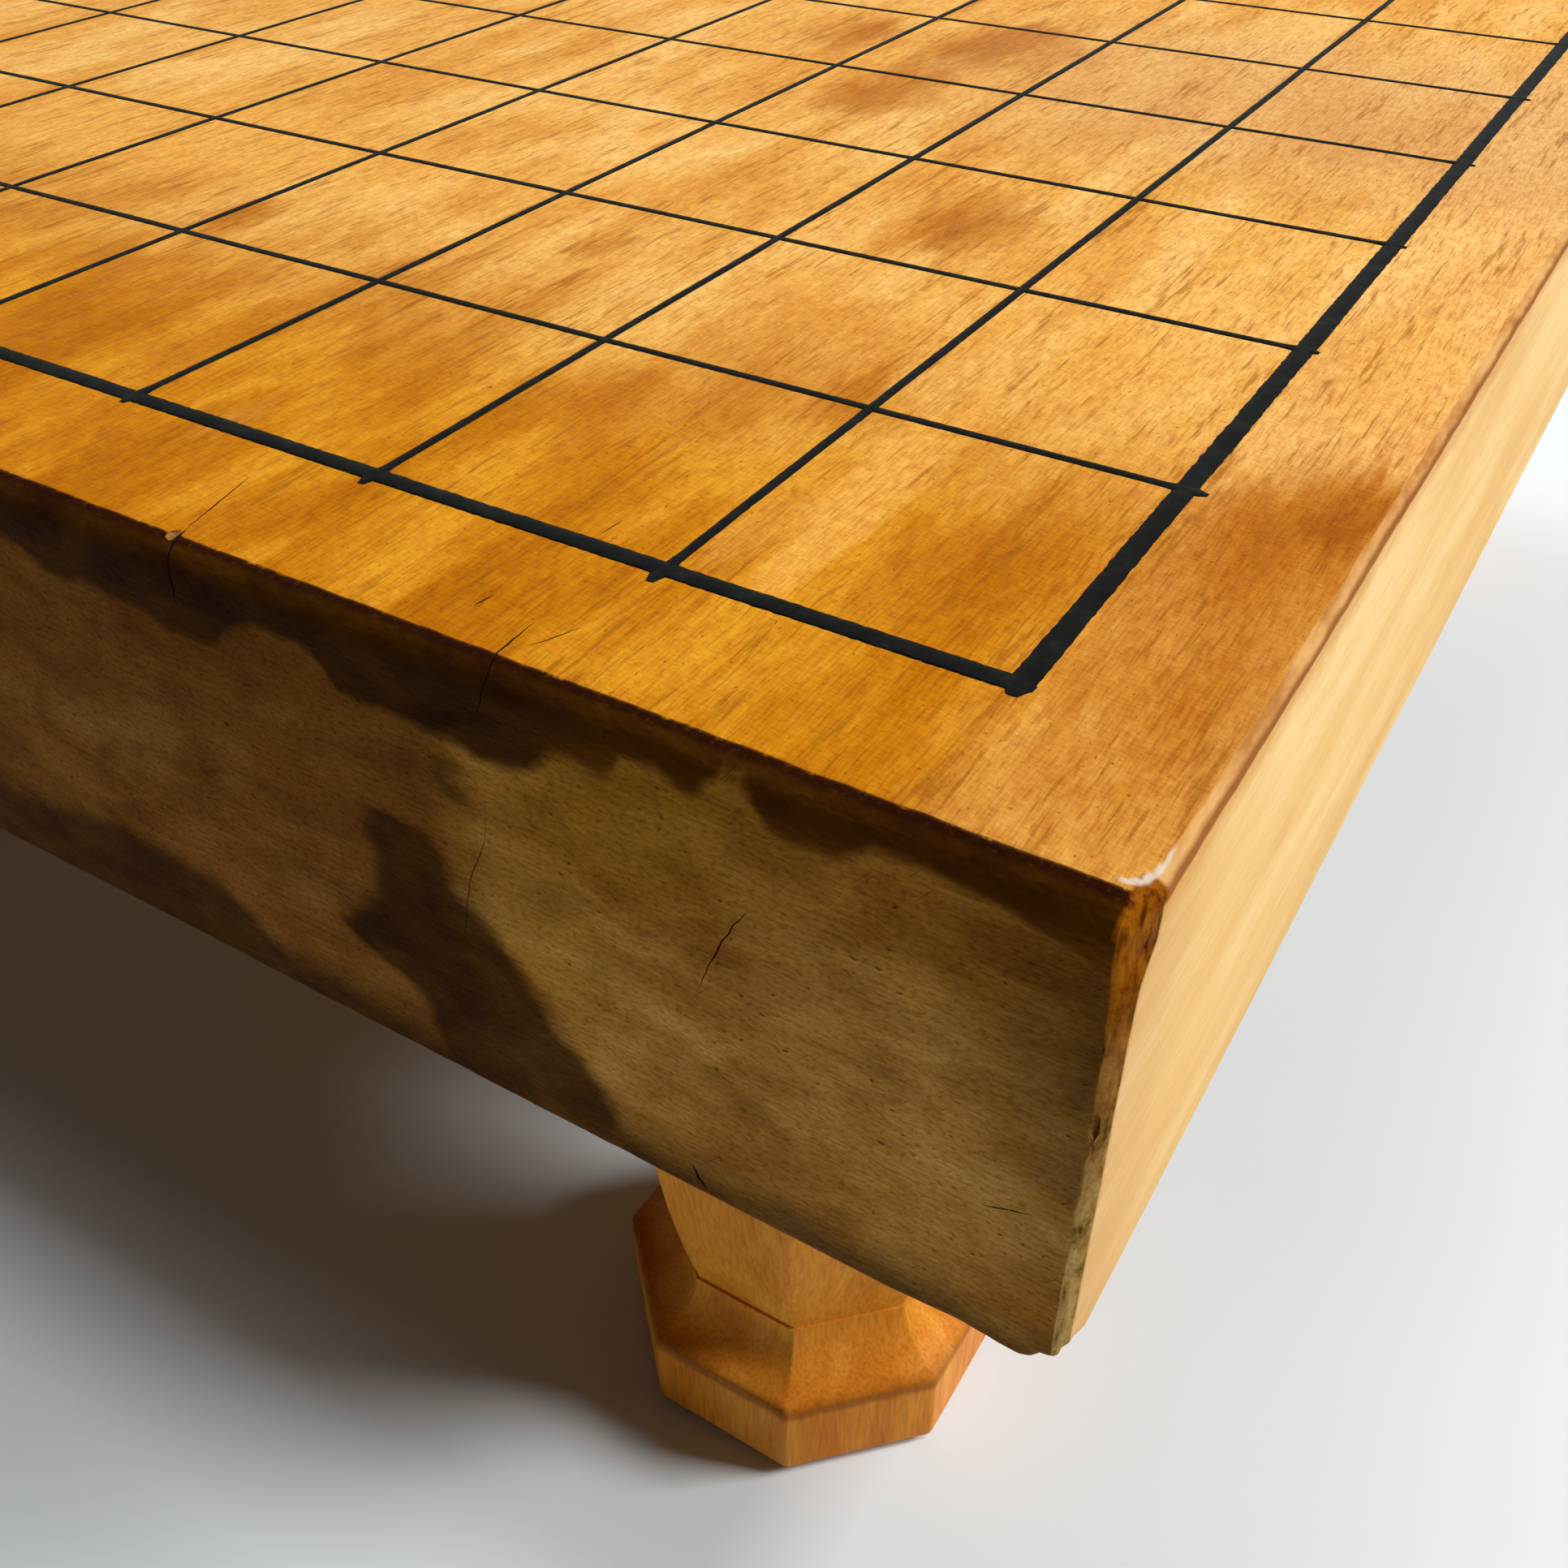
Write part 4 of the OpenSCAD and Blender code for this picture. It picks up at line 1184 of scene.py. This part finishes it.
def ruled_piece(name, settings):
    """Rules two sets of lines, one along each axis, and joins them in one piece."""
    joined = bmesh.new()
    for number, values in enumerate(settings):
        blank = mesh_object("blank", np.zeros((1, 3)), [])
        part = grown(blank, ruling, {**values, "Level": TOP_Z * MM, "Seed": 5.0 * number + len(name)},
                     name + "_part")
        joined.from_mesh(part.data)
        bpy.data.objects.remove(part)
    bmesh.ops.recalc_face_normals(joined, faces=joined.faces)
    mesh = bpy.data.meshes.new(name)
    joined.to_mesh(mesh)
    mesh.materials.append(lacquer)
    print(name, len(mesh.polygons), "faces, volume", round(joined.calc_volume() / MM ** 3), "mm3")
    joined.free()
    return in_scene(name, mesh)


# The frame line is heavier than the lines between the squares, whose ends swell
thick = {"Width": 2.2 * MM, "Height": 0.2 * MM, "Past the end": 1.3 * MM, "Swelling": 0.0,
         "Wobble": 0.10 * MM, "Ragged": 0.22 * MM, "Count": 2}
frame_line = ruled_piece("ruled_frame_line", [
    {**thick, "Spacing": FIELD_W * MM, "Length": FIELD_L * MM},
    {**thick, "Spacing": FIELD_L * MM, "Length": FIELD_W * MM, "Turn": math.pi / 2}])
thin = {"Width": 1.15 * MM, "Height": 0.15 * MM, "Past the end": 1.75 * MM, "Swelling": 0.35,
        "Wobble": 0.13 * MM, "Ragged": 0.10 * MM, "Count": FILES - 1}
grid_lines = ruled_piece("ruled_grid_lines", [
    {**thin, "Spacing": CELL_W * MM, "Length": FIELD_L * MM},
    {**thin, "Spacing": CELL_L * MM, "Length": FIELD_W * MM, "Turn": math.pi / 2}])

# %% [markdown]
# ## Tying the pieces to the frame
# Each piece says which CAD node it stands for, which body it rides on, and which slot of the
# record its finish comes from. Nothing moves on this board, so every piece rides on the root.

# %% Ride, replace, slot
pieces = [(plank, "plank", "plank_wood"), (frame_line, "lacquer_frame", "black_lacquer"),
          (grid_lines, "lacquer_grid", "black_lacquer")]
pieces += [(leg, node, "leg_wood") for node, leg in legs.items()]
for piece, node, slot in pieces:
    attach(piece, "root")
    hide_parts(node)
print(len(pieces), "pieces ride on the root")

# %% [markdown]
# ## Floor, light and camera
# A pale floor, soft lamps and a dim world. The key softbox stands high on the right and a little
# behind, and throws the floor's shadow to the left. A small softbox nearly overhead and a wide
# one on the left soften it, and a weak white card far behind lifts the back. A lamp's power is
# worked out from the brightness that it should give: a white surface that faces a lamp of power
# P at distance d sends back P / (pi * pi * d * d).
#
# The background is a pale backdrop that only the camera, mirrors and glass see. It lights
# nothing matt, so the shadows stay as deep as the lamps make them.
#
# The camera stands where the photographer's stood, only about 10 cm from the near right corner
# of the plank, which is why the lines run together so steeply.

# %% Floor
def floor_finish():
    """A painted studio board: matt and almost even, so that only the shadow shows on it."""
    material, tree, place = new_material("pale_matt_floor")
    cloud = streaks(tree, place, (90, 90, 90), 1, 2.0)
    colour = add(tree, "ShaderNodeValToRGB", {"Fac": cloud}, stops=[(0.3, "#e0e7e9"), (0.7, "#e3eaec")])
    skin = add(tree, "ShaderNodeBsdfPrincipled", {"Base Color": colour, "Roughness": 0.7})
    add(tree, "ShaderNodeOutputMaterial", {0: skin})
    return material


# Half the floor's width in mm
FLOOR = 1700
floor = mesh_object("floor", np.array([(-FLOOR, -FLOOR, 0), (FLOOR, -FLOOR, 0), (FLOOR, FLOOR, 0),
                                       (-FLOOR, FLOOR, 0)]), [(0, 1, 2, 3)])
floor.data.materials.append(floor_finish())
print("floor", 2 * FLOOR, "mm wide")

# %% Light
world = bpy.data.worlds.new("dim_room")
world.use_nodes = True
room = world.node_tree
room.nodes.clear()
dim = add(room, "ShaderNodeBackground", {"Color": (1, 1, 1, 1), "Strength": 0.012})
backdrop = add(room, "ShaderNodeBackground", {"Color": linear("#dcdfe0"), "Strength": 1.0})
# The camera, mirrors and glass see the backdrop, and everything else sees the dim room
seen = add(room, "ShaderNodeLightPath", out="Is Camera Ray")
for name in ("Is Glossy Ray", "Is Transmission Ray"):
    ray = add(room, "ShaderNodeLightPath", out=name)
    seen = add(room, "ShaderNodeMath", {0: seen, 1: ray}, operation="MAXIMUM")
add(room, "ShaderNodeOutputWorld", {0: add(room, "ShaderNodeMixShader", {0: seen, 1: dim, 2: backdrop})})
bpy.context.scene.world = world
# The lamps point at a place under the near right part of the plank
AIM = Vector((0.05, -0.1, 0.08))


def softbox(name, towards, distance, size, level):
    """A soft white lamp that gives a surface facing it the brightness level."""
    data = bpy.data.lights.new(name, "AREA")
    data.shape, data.size = "SQUARE", size
    data.energy = level * math.pi ** 2 * distance ** 2
    lamp = in_scene(name, data)
    way = Vector(towards).normalized()
    lamp.location = AIM + way * distance
    lamp.rotation_euler = way.to_track_quat("Z", "Y").to_euler()
    print(name, round(data.energy, 1), "W")


softbox("key_softbox", (1.17, 0.61, 1.0), 3.0, 0.95, 0.86)
softbox("high_softbox", (0.43, 0.07, 1.0), 3.0, 0.45, 0.32)
softbox("fill_softbox", (-0.35, 0.21, 1.0), 3.0, 1.85, 0.37)
softbox("back_card", (-0.6, 2.0, 0.5), 1.6, 1.6, 0.08)

# %% Camera
# A pinhole camera fitted to the ruled lines and the plank's edges: its focal length and the
# photo's width in pixels, its place in metres, and its three axes
FOCAL_PX, PHOTO_PX, SENSOR_MM = 1930.9, 1932, 36.0
STAND = (0.1845, -0.2548, 0.2115)
RIGHT, DOWN, FORWARD = (Vector(v) for v in ((0.8533, 0.5214, -0.0054), (0.3241, -0.5384, -0.7778),
                                            (-0.4085, 0.6620, -0.6285)))
scene = bpy.context.scene
camera_data = bpy.data.cameras.new("camera")
camera_data.sensor_width = SENSOR_MM
camera_data.lens = SENSOR_MM * FOCAL_PX / PHOTO_PX
camera_data.clip_start = 0.01
camera = in_scene("camera", camera_data)
turned = Matrix((RIGHT, -DOWN, -FORWARD)).transposed().to_4x4()
camera.matrix_world = Matrix.Translation(STAND) @ turned
scene.camera = camera
scene.view_settings.view_transform = "Standard"
print("camera", [round(c, 3) for c in camera.location], "lens", round(camera_data.lens, 2), "mm")
